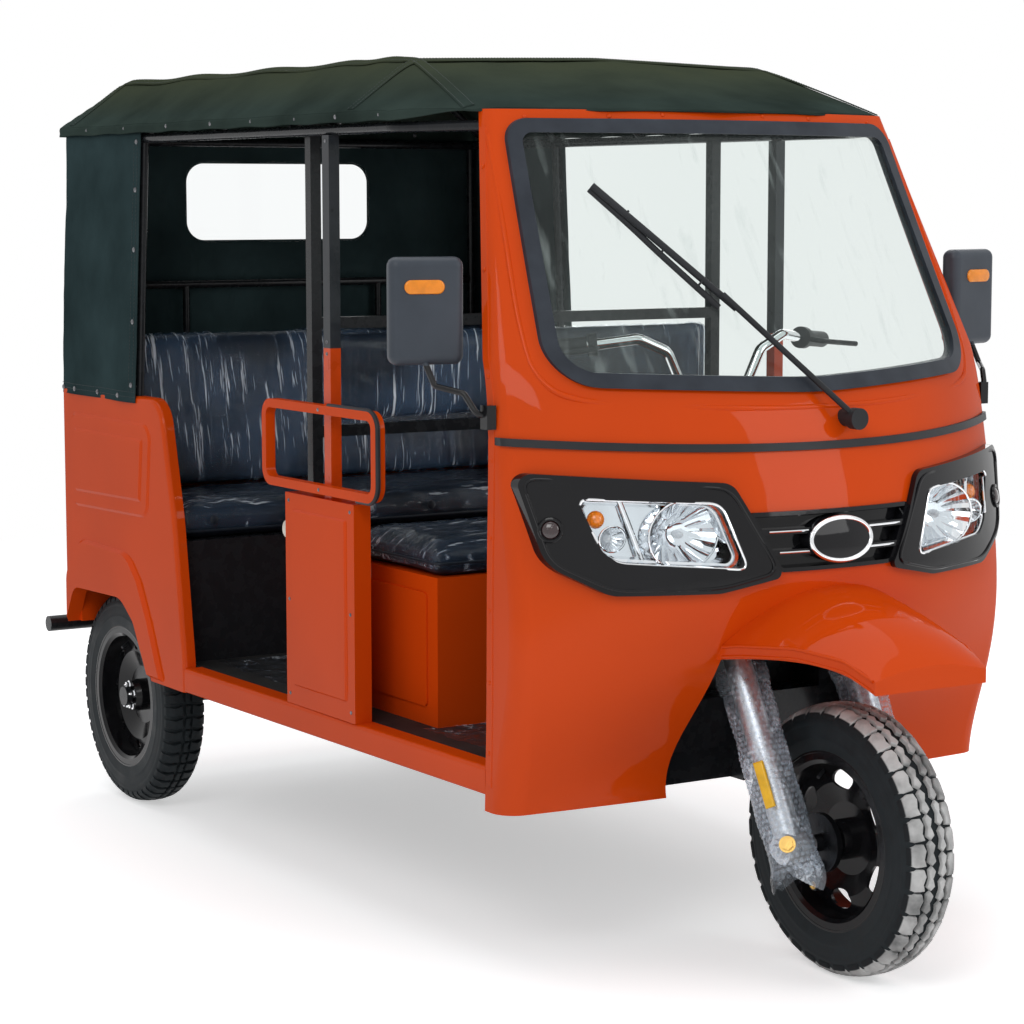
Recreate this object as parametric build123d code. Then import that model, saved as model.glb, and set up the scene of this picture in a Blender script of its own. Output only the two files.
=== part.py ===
"""Three-wheeled auto rickshaw with a steel front cowl, open sides and a canvas roof.

Millimetres, +Z up, the nose points to -Y and the vehicle's right side is -X. The model is laid out
in stations measured backwards from the front axle; save() moves it so that the origin lies on the
ground under the middle of the overall length. One function makes each piece or set of like pieces.
"""
import os
from functools import lru_cache
from math import cos, radians, sqrt, tan

from build123d import *

os.makedirs("parts", exist_ok=True)

# ---------------------------------------------------------------- driving dimensions
WHEELBASE = 2150.0
TRACK = 1050.0
TYRE_RADIUS = 267.5
FRONT_TYRE_WIDTH = 116.0
REAR_TYRE_WIDTH = 110.0
RIM_RADIUS = 172.0
BODY_HALF_WIDTH = 625.0
WALL = 30.0                     # pressed side wall with its inner skin
REAR_WALL = 2395.0              # outer face of the tail
BUMPER_STATION = 2482.0
BUMPER_RADIUS = 20.0
OVERALL_LENGTH = TYRE_RADIUS + BUMPER_STATION + BUMPER_RADIUS
ORIGIN_STATION = OVERALL_LENGTH / 2 - TYRE_RADIUS

FLOOR_TOP = 410.0
FLOOR_THICKNESS = 12.0
SILL_BOTTOM = 352.0
WAIST = 1034.0                  # top of the rear quarter panels
HEM = 1685.0                    # lower edge of the roof slopes
ROOF_TOP = 1803.0
ROOF_HALF_TOP = 446.0
ROOF_HALF_HEM = 608.0
ROOF_SKIN = 10.0
CREASE = 890.0                  # station where the flat roof turns down into the visor

RAKE = 27.6                     # fork rake from the vertical, degrees
AXIS_STATION = 39.0             # steering axis at axle height
LEG_HALF_SPACING = 140.0
LEG_RADIUS = 27.0
WRAP_RADIUS = 37.0
HEAD_TUBE = (668.0, 838.0)      # heights of the two ends of the head tube
STEM_RADIUS = 16.0
RUNNING_GAP = 0.05

COWL_WALL = 22.0
BULKHEAD = (333.0, 345.0)       # stations of the front bulkhead's two faces
SHEET = 12.0

PILLAR_STATION = 1014.0
PARTITION_STATION = 1192.0
BENCH_FRONT = 1762.0
CURTAIN_FRONT = 1940.0


# ---------------------------------------------------------------- helpers
def save(name, shape):
    """Write one node, moved from axle stations to the row's origin."""
    export_step(Pos(0, -ORIGIN_STATION, 0) * shape, f"parts/{name}.step")


def block(x, y, z):
    """Box from three (low, high) ranges."""
    size = [high - low for low, high in (x, y, z)]
    centre = [(high + low) / 2 for low, high in (x, y, z)]
    return Pos(*centre) * Box(*size)


def both(shape):
    """The shape and its mirror image across the centre plane."""
    return shape + mirror(shape, Plane.YZ)


def rod(start, end, radius):
    start, end = Vector(*start), Vector(*end)
    base = Plane(origin=start, z_dir=end - start)
    return base * Cylinder(radius, (end - start).length, align=(Align.CENTER, Align.CENTER, Align.MIN))


def tube(points, radius, bend):
    """Round bar along a bent path."""
    path = FilletPolyline(*points, radius=bend)
    return sweep(Plane(origin=path @ 0, z_dir=path % 0) * Circle(radius), path=path)


def rounded(points, radii):
    """Closed outline with its corners rounded."""
    return make_face(FilletPolyline(*points, radius=radii, close=True))


def facing(sketch, y0, y1):
    """Prism of a front-view (x, z) outline between two stations."""
    return extrude(Pos(0, y0, 0) * (Plane((0, 0, 0), x_dir=(1, 0, 0), z_dir=(0, -1, 0)) * sketch),
                   amount=y1 - y0, dir=(0, 1, 0))


def sideways(sketch, x0, x1):
    """Prism of a side-view (station, z) outline between two x values."""
    return extrude(Pos(x0, 0, 0) * (Plane.YZ * sketch), amount=x1 - x0, dir=(1, 0, 0))


def rounded_block(x, y, z, radius):
    body = block(x, y, z)
    return fillet(body.edges(), radius)


def on_axis(height):
    """Point of the steering axis at a height."""
    return (0, AXIS_STATION + (height - TYRE_RADIUS) * tan(radians(RAKE)), height)


def on_leg(side, height):
    """Point on the centre line of a fork leg at a height."""
    return (side * LEG_HALF_SPACING, (height - TYRE_RADIUS) * tan(radians(RAKE)), height)


# ---------------------------------------------------------------- cowl surface
# columns: height, half width, corner station, centre station, rear edge station, corner radius
COWL_SECTIONS = [
    (322, 600, 303, 275, 374, 50),
    (500, 603, 266, 190, 363, 50),
    (650, 605, 250, 78, 358, 50),
    (850, 605, 270, 45, 355, 50),
    (1050, 606, 310, 85, 349, 45),
    (1200, 598, 342, 165, 382, 40),
    (1680, 498, 530, 440, 560, 28),
]
COWL_HEAD = COWL_SECTIONS[-1][0]


@lru_cache(maxsize=None)
def skin(inset, beyond=0.0):
    """Solid bounded by the cowl's outer surface moved inwards, its back moved by beyond."""
    plans = []
    for height, half, corner, centre, rear, radius in COWL_SECTIONS:
        half, corner, centre, rear = half - inset, corner + inset, centre + inset, rear + beyond
        edges = [
            ThreePointArc((-half, corner), (0, centre), (half, corner)),
            Line((half, corner), (half, rear)),
            Line((half, rear), (-half, rear)),
            Line((-half, rear), (-half, corner)),
        ]
        plan = make_face(edges)
        corners = [v for v in plan.vertices() if abs(v.Y - corner) < 0.01]
        plans.append(Pos(0, 0, height) * fillet(corners, radius))
    return loft(plans[:-1]) + loft(plans[-2:], ruled=True)


def layer(outline, outer, inner):
    """Piece of a front-view outline that lies between two depths under the cowl's surface."""
    return (facing(outline, -150, 545) & skin(outer, 80 if outer > 8 else 0)) - skin(inner, 80)


SCREEN_OUTER = rounded(
    [(-475, 1662), (475, 1662), (524, 1152), (0, 1131), (-524, 1152)], [52, 52, 85, 1400, 85])
SEAL_LIP = 14.0
SEAL_WIDTH = 28.0
SCREEN_HOLE = offset(SCREEN_OUTER, amount=-SEAL_LIP)
SCREEN_CLEAR = offset(SCREEN_OUTER, amount=-SEAL_WIDTH)


def mirrored_outline(points):
    return [(-x, z) for x, z in reversed(points)]


BEZEL = [(-601, 992), (-228, 968), (-132, 786), (-262, 760), (-462, 761), (-566, 818)]
BEZEL_RADII = [24, 34, 14, 60, 60, 70]
LENS = [(-508, 944), (-256, 931), (-209, 804), (-446, 822), (-474, 846)]
LENS_RADII = [12, 40, 22, 24, 24]
GRILLE = [(-198, 910), (198, 910), (138, 794), (-138, 794)]
EMBLEM_CENTRE = (0, 852)
EMBLEM_AXES = (78, 46)


def sided(points, radii, side):
    if side > 0:
        return rounded(mirrored_outline(points), list(reversed(radii)))
    return rounded(points, radii)


BEZELS = [sided(BEZEL, BEZEL_RADII, side) for side in (-1, 1)]
LENSES = [sided(LENS, LENS_RADII, side) for side in (-1, 1)]
GRILLE_OUTLINE = rounded(GRILLE, [8, 8, 20, 20])

ARCH = rounded([(-236, 300), (236, 300), (226, 640), (110, 744), (-110, 744), (-226, 640)],
               [0, 0, 60, 110, 110, 60])


def front_cowl():
    shell = skin(0) - skin(COWL_WALL, 80)
    for outline in [SCREEN_HOLE, GRILLE_OUTLINE, *LENSES]:
        shell -= facing(outline, -150, 620)
    shell -= facing(ARCH, -150, BULKHEAD[0])
    return shell


def windshield_seal():
    lip = layer(SCREEN_OUTER - SCREEN_HOLE, -8, 0)
    channel = layer(SCREEN_HOLE - SCREEN_CLEAR, -8, 14)
    return lip + channel


def windshield_glass():
    return layer(SCREEN_CLEAR, 0, 5)


def lamp_surrounds():
    parts = []
    for bezel, lens in zip(BEZELS, LENSES):
        parts.append(layer(bezel - lens - GRILLE_OUTLINE, -14, 0))
    return parts[0] + parts[1]


def headlamp_reflectors():
    bowls = [layer(lens, 8, 60) - layer(offset(lens, amount=-8), 8, 52) for lens in LENSES]
    return bowls[0] + bowls[1]


def headlamp_lenses():
    return layer(LENSES[0], -8, 8) + layer(LENSES[1], -8, 8)


def grille():
    frame = layer(GRILLE_OUTLINE - offset(GRILLE_OUTLINE, amount=-8), -6, 20)
    backing = layer(GRILLE_OUTLINE, 16, 22)
    bars = None
    for height in GRILLE_BARS:
        strip = Pos(0, height) * Rectangle(420, 11) & GRILLE_OUTLINE
        bar = layer(strip, -8, 16)
        bars = bar if bars is None else bars + bar
    emblem = layer(Pos(*EMBLEM_CENTRE) * Ellipse(*EMBLEM_AXES), -14, 16)
    return frame + backing + bars + emblem


GRILLE_BARS = (832, 872)


def belt_moulding():
    half = 606
    lower = ThreePointArc((-half, 1040), (0, 1023), (half, 1040))
    upper = ThreePointArc((half, 1055), (0, 1038), (-half, 1055))
    band = make_face([lower, Line((half, 1040), (half, 1055)), upper, Line((-half, 1055), (-half, 1040))])
    return layer(band, -5, 0)


# ---------------------------------------------------------------- mudguard
# columns: station, half width, edge height, crown height
MUDGUARD_SECTIONS = [
    (190, 250, 612, 772),
    (60, 222, 632, 764),
    (-60, 182, 640, 736),
    (-165, 150, 628, 700),
    (-238, 134, 598, 642),
]
MUDGUARD_LIP = 26.0
MUDGUARD_SKIN = 6.0


def mudguard_solid(inset):
    plans = []
    for station, half, edge, crown in MUDGUARD_SECTIONS:
        half, crown = half - inset, crown - inset
        low = edge - inset * 4
        shoulder = edge + MUDGUARD_LIP - inset
        face = make_face([
            Line((-half, low), (half, low)),
            Line((half, low), (half, shoulder)),
            ThreePointArc((half, shoulder), (0, crown + 0.5), (-half, shoulder)),
            Line((-half, shoulder), (-half, low)),
        ])
        shift = inset if station < -200 else 0
        plans.append(Pos(0, station + shift, 0) * (Plane((0, 0, 0), x_dir=(1, 0, 0), z_dir=(0, -1, 0)) * face))
    return loft(plans)


def front_mudguard():
    return mudguard_solid(0) - mudguard_solid(MUDGUARD_SKIN) - skin(0)


# ---------------------------------------------------------------- chassis and floor
RAIL_X = (270.0, 310.0)
RAIL_Z = (330.0, FLOOR_TOP - FLOOR_THICKNESS)
RAIL_END = 2375.0
CROSS_MEMBERS = [(345, 385), (750, 790), (1090, 1130), (1690, 1730), (2335, 2375)]
OUTRIGGERS = [(430, 460), (1000, 1030), (1590, 1620)]
ENGINE_X = 170.0
NECK_X = 30.0
NECK_FRONT = 300.0
NECK_TOP = 690.0
HEAD_TUBE_RADIUS = 27.0


SILL_FRONT = 373.1
SILL_BACK = 1688.0


def sill_edge(station):
    """Outer face of the sill, which widens from the cowl to the rear body."""
    share = (station - SILL_FRONT) / (SILL_BACK - SILL_FRONT)
    return 600 + share * (BODY_HALF_WIDTH - 600)


def chassis_frame():
    frame = both(block(RAIL_X, (CROSS_MEMBERS[0][0], RAIL_END), RAIL_Z))
    for stations in CROSS_MEMBERS:
        frame += block((-RAIL_X[1], RAIL_X[1]), stations, RAIL_Z)
    for stations in OUTRIGGERS:
        frame += both(block((RAIL_X[1], sill_edge(stations[0]) - SILL_WIDTH), stations, (SILL_BOTTOM, RAIL_Z[1])))
    frame += block((-NECK_X, NECK_X), (NECK_FRONT, BULKHEAD[0]), (RAIL_Z[0], NECK_TOP))
    frame += block((-NECK_X, NECK_X), (BULKHEAD[0], BULKHEAD[1]), RAIL_Z)
    low, high = on_axis(HEAD_TUBE[0]), on_axis(HEAD_TUBE[1])
    frame += block((-NECK_X + 4, NECK_X - 4), (262, NECK_FRONT), (HEAD_TUBE[0] + 12, NECK_TOP))
    frame -= rod(on_axis(HEAD_TUBE[0] - 60), high, HEAD_TUBE_RADIUS)
    frame += rod(low, high, HEAD_TUBE_RADIUS)
    return frame - rod(on_axis(HEAD_TUBE[0] - 80), on_axis(HEAD_TUBE[1] + 80), STEM_RADIUS + RUNNING_GAP)


SILL_WIDTH = 45.0


def side_sills():
    front, back = SILL_FRONT, SILL_BACK
    plan = make_face(Polyline((sill_edge(front) - SILL_WIDTH, front), (sill_edge(front), front),
                              (sill_edge(back), back), (sill_edge(back) - SILL_WIDTH, back), close=True))
    sill = extrude(Pos(0, 0, SILL_BOTTOM) * plan, amount=FLOOR_TOP - SILL_BOTTOM, dir=(0, 0, 1))
    outer = [e for e in sill.edges() if e.center().X > sill_edge(front) and e.length > back - front]
    return both(fillet(outer, 9))


def floor_pan():
    front, back = SILL_FRONT, SILL_BACK
    half_front, half_back = sill_edge(front) - SILL_WIDTH, sill_edge(back) - SILL_WIDTH
    plan = make_face(Polyline(
        (-half_front, BULKHEAD[1]), (half_front, BULKHEAD[1]), (half_front, front), (half_back, back),
        (half_back, BENCH_FRONT), (-half_back, BENCH_FRONT), (-half_back, back), (-half_front, front), close=True))
    pan = extrude(Pos(0, 0, RAIL_Z[1]) * plan, amount=FLOOR_THICKNESS, dir=(0, 0, 1))
    return pan - block((-ENGINE_X - 10, ENGINE_X + 10), (780, 1100), (300, 500))


TUNNEL_X = 200.0
TUNNEL_Z = (500.0, 870.0)
TUNNEL_BACK = 432.0
DASH_TOP = 1040.0


def front_bulkhead():
    inside = skin(COWL_WALL, 80)
    sheet = block((-620, 620), BULKHEAD, (RAIL_Z[1], TUNNEL_Z[1] + SHEET)) & inside
    tunnel = block((-TUNNEL_X, TUNNEL_X), (BULKHEAD[0], TUNNEL_BACK), (TUNNEL_Z[0] - SHEET, TUNNEL_Z[1] + SHEET))
    hollow = block((-TUNNEL_X + SHEET, TUNNEL_X - SHEET), (BULKHEAD[0] - 5, TUNNEL_BACK - SHEET), TUNNEL_Z)
    return sheet + tunnel - hollow - rod(on_axis(700), on_axis(1000), STEM_RADIUS + 8)


def instrument_panel():
    inside = skin(COWL_WALL, 80)
    face = block((-620, 620), BULKHEAD, (TUNNEL_Z[1] + SHEET, DASH_TOP))
    shelf = block((-620, 620), (40, BULKHEAD[1]), (DASH_TOP - SHEET, DASH_TOP))
    return ((face + shelf) & inside) - rod(on_axis(820), on_axis(1010), STEM_RADIUS + 8)


# ---------------------------------------------------------------- front lamps' and screen's fittings
WIPER_PIVOT = (55, 1080)


def wiper():
    x, z = WIPER_PIVOT
    boss = rod((x, 66, z), (x, 140, z), 17) - skin(0)
    heel, toe = Vector(-128, 204, 1292), Vector(-350, 380, 1530)
    arm = rod((x, 56, z), heel + (toe - heel) * 0.12 - Vector(0, 10, 0), 6)
    blade = rod(heel, toe, 7)
    cap = rod((x, 48, z), (x, 70, z), 21)
    return boss + arm + blade + cap


MIRROR_PLACE = (682, 456, 1292)
MIRROR_SIZE = (148, 44, 206)
MIRROR_TURN = 14.0              # each glass is turned in towards the driver


def mirror_pose(shape):
    x, station, height = MIRROR_PLACE
    return Pos(-x, station, height) * Rot(0, 0, -MIRROR_TURN) * shape


def mirrors():
    width, depth, height = MIRROR_SIZE
    shell = Box(width, depth, height)
    shell = fillet(shell.edges(), 18)
    shell -= Pos(0, depth / 2, 0) * Box(width - 26, 10, height - 26)
    arm = tube([(-612, 336, 1094), (-636, 342, 1100), (-650, 366, 1138), (-684, 416, 1150), (-688, 452, 1200)], 6, 14)
    foot = block((-626, -606), (320, 345), (1070, 1116))
    return both(mirror_pose(shell) + arm + foot)


def mirror_glasses():
    width, depth, height = MIRROR_SIZE
    return both(mirror_pose(Pos(0, depth / 2 - 3.5, 0) * Box(width - 26, 3, height - 26)))


# ---------------------------------------------------------------- rear body
PANEL_X = (BODY_HALF_WIDTH - WALL, BODY_HALF_WIDTH)
TAIL_FOOT = 431.0
ARCH_CUT = [(1846, 300), (1890, 374), (1962, 486), (2037, 535), (2324, 528), (2381, 431), (2400, 431), (2400, 300)]
FLARE = [(1806, 360), (1876, 499), (1932, 589), (2000, 650), (2296, 655), (2380, 560), (2381, 431), (2300, 360)]
QUARTER = [(SILL_BACK, SILL_BOTTOM), (1690, 430), (1738, 760), (1806, WAIST), (REAR_WALL, WAIST),
           (REAR_WALL, SILL_BOTTOM)]
PRESS = 4.0
PRESSING = [(1880, 745), (2345, 735), (2345, 972), (1855, 972)]


def quarter_panels():
    arch = rounded(ARCH_CUT, [0, 0, 60, 90, 50, 0, 0, 0])
    side = sideways(rounded(QUARTER, [0, 120, 300, 75, 14, 0]), *PANEL_X)
    rim = [e for e in side.edges().filter_by_position(Axis.X, PANEL_X[1], PANEL_X[1])
           if e.center().Y < QUARTER[3][0] + 40]
    side = fillet(rim, 11)
    flare = Plane.YZ * rounded(FLARE, [0, 0, 60, 90, 80, 60, 0, 0])
    side += extrude(Pos(PANEL_X[1], 0, 0) * flare, amount=9, taper=40)
    for inset, height in ((0, 0), (38, PRESS)):
        pressing = Plane.YZ * offset(rounded(PRESSING, [40, 40, 40, 40]), -inset)
        side += extrude(Pos(PANEL_X[1] + height, 0, 0) * pressing, amount=PRESS, taper=60)
    return both(side - sideways(arch, 500, 700))


PLATE_HEIGHT = 600.0
PLATE_HOLES = 170.0
PLATE_HOLE_RADIUS = 3.2


def tail_panel():
    panel = block((-PANEL_X[0], PANEL_X[0]), (REAR_WALL - WALL, REAR_WALL), (TAIL_FOOT, WAIST))
    for side in (-1, 1):
        x = side * PLATE_HOLES / 2
        panel -= rod((x, REAR_WALL - WALL - 5, PLATE_HEIGHT), (x, REAR_WALL + 5, PLATE_HEIGHT), PLATE_HOLE_RADIUS)
    return panel


def tail_lamps():
    lamp = block((470, 560), (REAR_WALL, REAR_WALL + 26), (540, 680))
    return both(fillet(lamp.edges().filter_by(Axis.Y), 14))


def rear_bumper():
    bar = rod((-640, BUMPER_STATION, 412), (640, BUMPER_STATION, 412), BUMPER_RADIUS)
    bracket = block((278, 302), (RAIL_END, BUMPER_STATION), (372, RAIL_Z[1]))
    return bar + both(bracket)


# ---------------------------------------------------------------- pillars, panels and seats
PILLAR_X = (573.0, 598.0)
RAIL_HEIGHT = 1648.0
RAIL_LINE = 585.0


CENTRE_PANEL = (878.0, 1188.0)
PANEL_TOP = 873.0


def centre_panels():
    front, back = CENTRE_PANEL
    panel = block((571, 611), CENTRE_PANEL, (FLOOR_TOP, PANEL_TOP))
    margin = 34
    low, high = FLOOR_TOP + 42, PANEL_TOP - 35
    face = Pos(611, 0, 0) * (Plane.YZ * rounded([(front + margin, low), (back - margin, low), (back - margin, high),
                                                 (front + margin, high)], [6] * 4))
    return both(panel + extrude(face, amount=4, taper=45))


def centre_pillars():
    return both(block(PILLAR_X, (PILLAR_STATION - 15, PILLAR_STATION + 15), (PANEL_TOP, RAIL_HEIGHT - RAIL_RADIUS)))


def guard_loops():
    outer = rounded([(766, 884), (1278, 884), (1278, 1073), (766, 1073)], [38] * 4)
    inner = offset(outer, amount=-19)
    return both(sideways(outer - inner, PILLAR_X[1], PILLAR_X[1] + 23))


SEAT_BOX = ((-485, 485), (750, 1120), (FLOOR_TOP, 725))


def driver_seat_box():
    (x0, x1), (y0, y1), (z0, z1) = SEAT_BOX
    body = block(*SEAT_BOX) - block((x0 + SHEET, x1 - SHEET), (y0 + SHEET, y1 - SHEET), (z0 - 5, z1 - SHEET))
    for side in (-1, 1):
        end = Pos(side * x1, 0, 0) * (Plane.YZ * rounded([(790, 450), (1080, 450), (1080, 690), (790, 690)], [12] * 4))
        body += extrude(end, amount=4, dir=(side, 0, 0))
    return body


def driver_seat():
    return rounded_block((-505, 505), (732, 1128), (725, 800), 24)


POST_X = 534.0


def driver_backrest():
    half = 12.5
    station = (PARTITION_STATION - half, PARTITION_STATION + half)
    frame = both(block((POST_X - half, POST_X + half), station, (FLOOR_TOP, 1680)))
    for height in (1000, 1236):
        frame += block((-POST_X + half, POST_X - half), station, (height - half, height + half))
    return frame - roof_bow(PARTITION_STATION)


def driver_backrest_pad():
    return rounded_block((-POST_X + 12.5, POST_X - 12.5), (PARTITION_STATION - 20, PARTITION_STATION + 20),
                         (1012.5, 1223.5), 8)


WELL_X = (440.0, 452.0)
WELL_TOP = (560.0, 572.0)
BENCH_TOP = 700.0


def bench_base():
    inner_wall = REAR_WALL - WALL
    front = block((-PANEL_X[0], PANEL_X[0]), (BENCH_FRONT, BENCH_FRONT + SHEET), (RAIL_Z[1], BENCH_TOP))
    top = block((-PANEL_X[0], PANEL_X[0]), (BENCH_FRONT + SHEET, inner_wall), (BENCH_TOP - SHEET, BENCH_TOP))
    well_side = block(WELL_X, (BENCH_FRONT + SHEET, inner_wall), (RAIL_Z[1], WELL_TOP[1]))
    well_top = block((WELL_X[1], PANEL_X[0]), (BENCH_FRONT + SHEET, inner_wall), WELL_TOP)
    return front + top + both(well_side + well_top)


CUSHION_TOP = 785.0


def bench_cushion():
    return rounded_block((-592, 592), (1772, 2200), (BENCH_TOP, CUSHION_TOP), 26)


def bench_backrest():
    profile = rounded([(2112, CUSHION_TOP), (2184, CUSHION_TOP), (2264, 1176), (2194, 1176)], [12, 12, 22, 22])
    return sideways(profile, -590, 590)


INNER_RAIL = (2378.0, 1285.0)
POST_FOOT = WAIST + 0.4            # a leaning post's foot just clears the panel's top edge
REAR_POST = ((580, 2380, POST_FOOT), (577, 2380, RAIL_HEIGHT))
CURTAIN_POST = ((606, 1958, POST_FOOT), (583, 1958, RAIL_HEIGHT))


def inner_rails():
    station, height = INNER_RAIL
    rail = rod((-568, station, height), (568, station, height), 10)
    posts = both(rod((284, station, WAIST), (284, station, height), 9))
    struts = both(rod((284, 2240, 1130), (284, station, 1130), 7))
    return rail + posts + struts - bench_backrest()


RAIL_RADIUS = 11.0
POST_RADIUS = 10.0
BOW_RADIUS = 9.0


def roof_frame():
    """Side rails under the eaves, the rear cross rail and the four posts that stand on the rear body."""
    side = tube([(RAIL_LINE, 2385, RAIL_HEIGHT), (RAIL_LINE, 742, RAIL_HEIGHT), (474, 530, RAIL_HEIGHT)],
                RAIL_RADIUS, 60)
    frame = both(side + rod(*REAR_POST, POST_RADIUS) + rod(*CURTAIN_POST, POST_RADIUS))
    frame += rod((-RAIL_LINE, 2372, RAIL_HEIGHT), (RAIL_LINE, 2372, RAIL_HEIGHT), POST_RADIUS)
    return frame - skin(0)


BOW_TOP = ROOF_TOP - ROOF_SKIN - BOW_RADIUS - 1
BOWS = [PILLAR_STATION, PARTITION_STATION, 1560, 1958, 2300]


def roof_bow(station):
    return tube([(-RAIL_LINE, station, RAIL_HEIGHT + 5), (-424, station, BOW_TOP), (424, station, BOW_TOP),
                 (RAIL_LINE, station, RAIL_HEIGHT + 5)], BOW_RADIUS, 40)


def roof_bows():
    bows = None
    for station in BOWS:
        bow = roof_bow(station)
        bows = bow if bows is None else bows + bow
    for side in (-1, 1):
        bows -= rod((side * RAIL_LINE, 700, RAIL_HEIGHT), (side * RAIL_LINE, 2385, RAIL_HEIGHT), RAIL_RADIUS)
    return bows


# ---------------------------------------------------------------- canvas roof and curtain
SKIRT = 1660.0
ROOF_REAR = 2414.0
# columns: x, station, z of the visor's upper corners from the nose backwards
VISOR = {
    "nose": (0, 428, 1692), "brow": (262, 462, 1690), "corner": (508, 552, 1685), "hip": (608, 725, HEM),
    "eave": (608, CREASE, HEM), "shoulder": (446, CREASE, ROOF_TOP), "crown": (0, CREASE, ROOF_TOP + 7),
}


def visor_half(inset):
    """Half of the sloping front of the roof as a closed solid."""
    top = {}
    for name, (x, y, z) in VISOR.items():
        ahead = inset * 1.3 if y < CREASE else 0
        top[name] = Vector(max(x - inset, 0), y + ahead, z - inset)
    low = {name: Vector(p.X, p.Y, SKIRT - inset) for name, p in top.items()}
    rim = ["nose", "brow", "corner", "hip", "eave"]
    polygons = [
        [top["nose"], top["brow"], top["crown"]],
        [top["brow"], top["shoulder"], top["crown"]],
        [top["brow"], top["corner"], top["shoulder"]],
        [top["corner"], top["hip"], top["shoulder"]],
        [top["hip"], top["eave"], top["shoulder"]],
        [low["nose"], low["brow"], low["corner"], low["hip"], low["eave"], low["crown"]],
        [top["nose"], top["crown"], low["crown"], low["nose"]],
        [top["crown"], top["shoulder"], top["eave"], low["eave"], low["crown"]],
    ]
    for first, second in zip(rim, rim[1:]):
        polygons.append([top[first], low[first], low[second], top[second]])
    return Solid(Shell([Face(Wire.make_polygon(polygon, close=True)) for polygon in polygons]))


def roof_prism(inset):
    eave, shoulder, crown = VISOR["eave"], VISOR["shoulder"], VISOR["crown"]
    half = [(eave[0] - inset, SKIRT - inset), (eave[0] - inset, eave[2] - inset),
            (shoulder[0] - inset * 0.6, shoulder[2] - inset)]
    section = half + [(0, crown[2] - inset)] + mirrored_outline(half)
    outer = facing(make_face(Polyline(*section, close=True)), CREASE, ROOF_REAR + 20)
    rear = ROOF_REAR - inset
    fall = rounded([(800, SKIRT - 60), (800, 1900), (2200, 1900), (2200, ROOF_TOP + 7 - inset),
                    (2352 - inset, ROOF_TOP + 7 - inset), (rear - 6, 1712), (rear, SKIRT - 60)],
                   [0, 0, 0, 0, 50, 50, 0])
    return outer & sideways(fall, -700, 700)


def canopy_roof():
    outer = both(visor_half(0)) + roof_prism(0)
    inner = both(visor_half(ROOF_SKIN)) + roof_prism(ROOF_SKIN)
    cowl_top = block((-530, 530), (380, 575), (1600, COWL_HEAD))
    return outer - inner - cowl_top


CURTAIN_FOOT = 1018.0
CURTAIN_SKIN = 6.5
WINDOW = ((-272, 272), (1392, 1602))


def curtain_solid(inset):
    plans = []
    for height, half, rear in ((CURTAIN_FOOT, 633, 2408), (SKIRT, 606, 2406)):
        half, rear = half - inset, rear - inset
        plan = rounded([(-half, 1800), (half, 1800), (half, rear), (-half, rear)], [0, 0, 16 - inset, 16 - inset])
        plans.append(Pos(0, 0, height) * plan)
    return loft(plans)


def window_outline():
    (x0, x1), (z0, z1) = WINDOW
    return rounded([(x0, z0), (x1, z0), (x1, z1), (x0, z1)], [55] * 4)


def canopy_curtain():
    cloth = curtain_solid(0) - curtain_solid(CURTAIN_SKIN)
    cloth -= block((-700, 700), (1700, CURTAIN_FRONT), (900, 1800))
    return cloth - facing(window_outline(), 2300, 2500)


def rear_window():
    return (curtain_solid(2) - curtain_solid(5)) & facing(window_outline(), 2300, 2500)


# ---------------------------------------------------------------- wheels
def revolve_x(points):
    """Solid of revolution about X from (x, radius) points."""
    return revolve(make_face(Polyline(*points, close=True)), Axis.X)


HUB_BORE = 15.0
HUB_RADIUS = 40.0


def rim(bore, windows):
    """Pressed steel wheel about X, its outer face towards -X."""
    flange, seat, inside = RIM_RADIUS, RIM_RADIUS - 16, RIM_RADIUS - 21
    profile = [(-52, flange), (-45, flange), (-44, seat), (44, seat), (45, flange), (52, flange),
               (52, inside + 8), (46, inside), (-2, inside), (-12, 112), (6, 74), (6, HUB_RADIUS),
               (34, HUB_RADIUS), (34, bore), (-34, bore), (-34, 34), (-20, HUB_RADIUS), (0, HUB_RADIUS),
               (0, 72), (-18, 111), (-9, inside), (-46, inside), (-52, inside + 8)]
    wheel = revolve_x(profile)
    count, radius, width, length = windows
    for step in range(count):
        slot = Plane((0, 0, 0), x_dir=(0, 1, 0), z_dir=(1, 0, 0)) * (Pos(0, radius) * Ellipse(width / 2, length / 2))
        wheel -= Rot(step * 360 / count, 0, 0) * extrude(Pos(-60, 0, 0) * slot, amount=80, dir=(1, 0, 0))
    return wheel


def tyre(width):
    half = width / 2
    seat = RIM_RADIUS - 16
    edges = [
        Line((-44, seat), (44, seat)), Line((44, seat), (45, RIM_RADIUS)),
        Line((45, RIM_RADIUS), (52, RIM_RADIUS + 2)),
        ThreePointArc((52, RIM_RADIUS + 2), (half, 212), (half - 7, 252)),
        Line((half - 7, 252), (half - 16, 261)),
        ThreePointArc((half - 16, 261), (0, TYRE_RADIUS), (16 - half, 261)),
        Line((16 - half, 261), (7 - half, 252)),
        ThreePointArc((7 - half, 252), (-half, 212), (-52, RIM_RADIUS + 2)),
        Line((-52, RIM_RADIUS + 2), (-45, RIM_RADIUS)), Line((-45, RIM_RADIUS), (-44, seat)),
    ]
    return revolve(make_face(edges), Axis.X)


FRONT_BORE = 10.0
FRONT_CENTRE = Pos(0, 0, TYRE_RADIUS)
RIGHT_CENTRE = Pos(-TRACK / 2, WHEELBASE, TYRE_RADIUS)
LEFT_CENTRE = Pos(TRACK / 2, WHEELBASE, TYRE_RADIUS)
FRONT_WINDOWS = (6, 118, 62, 38)
REAR_WINDOWS = (8, 126, 26, 22)


# ---------------------------------------------------------------- running gear
DRUM_FACE = 455.0


CASING_RADIUS = 86.0
AXLE_RADIUS = 32.0


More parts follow.
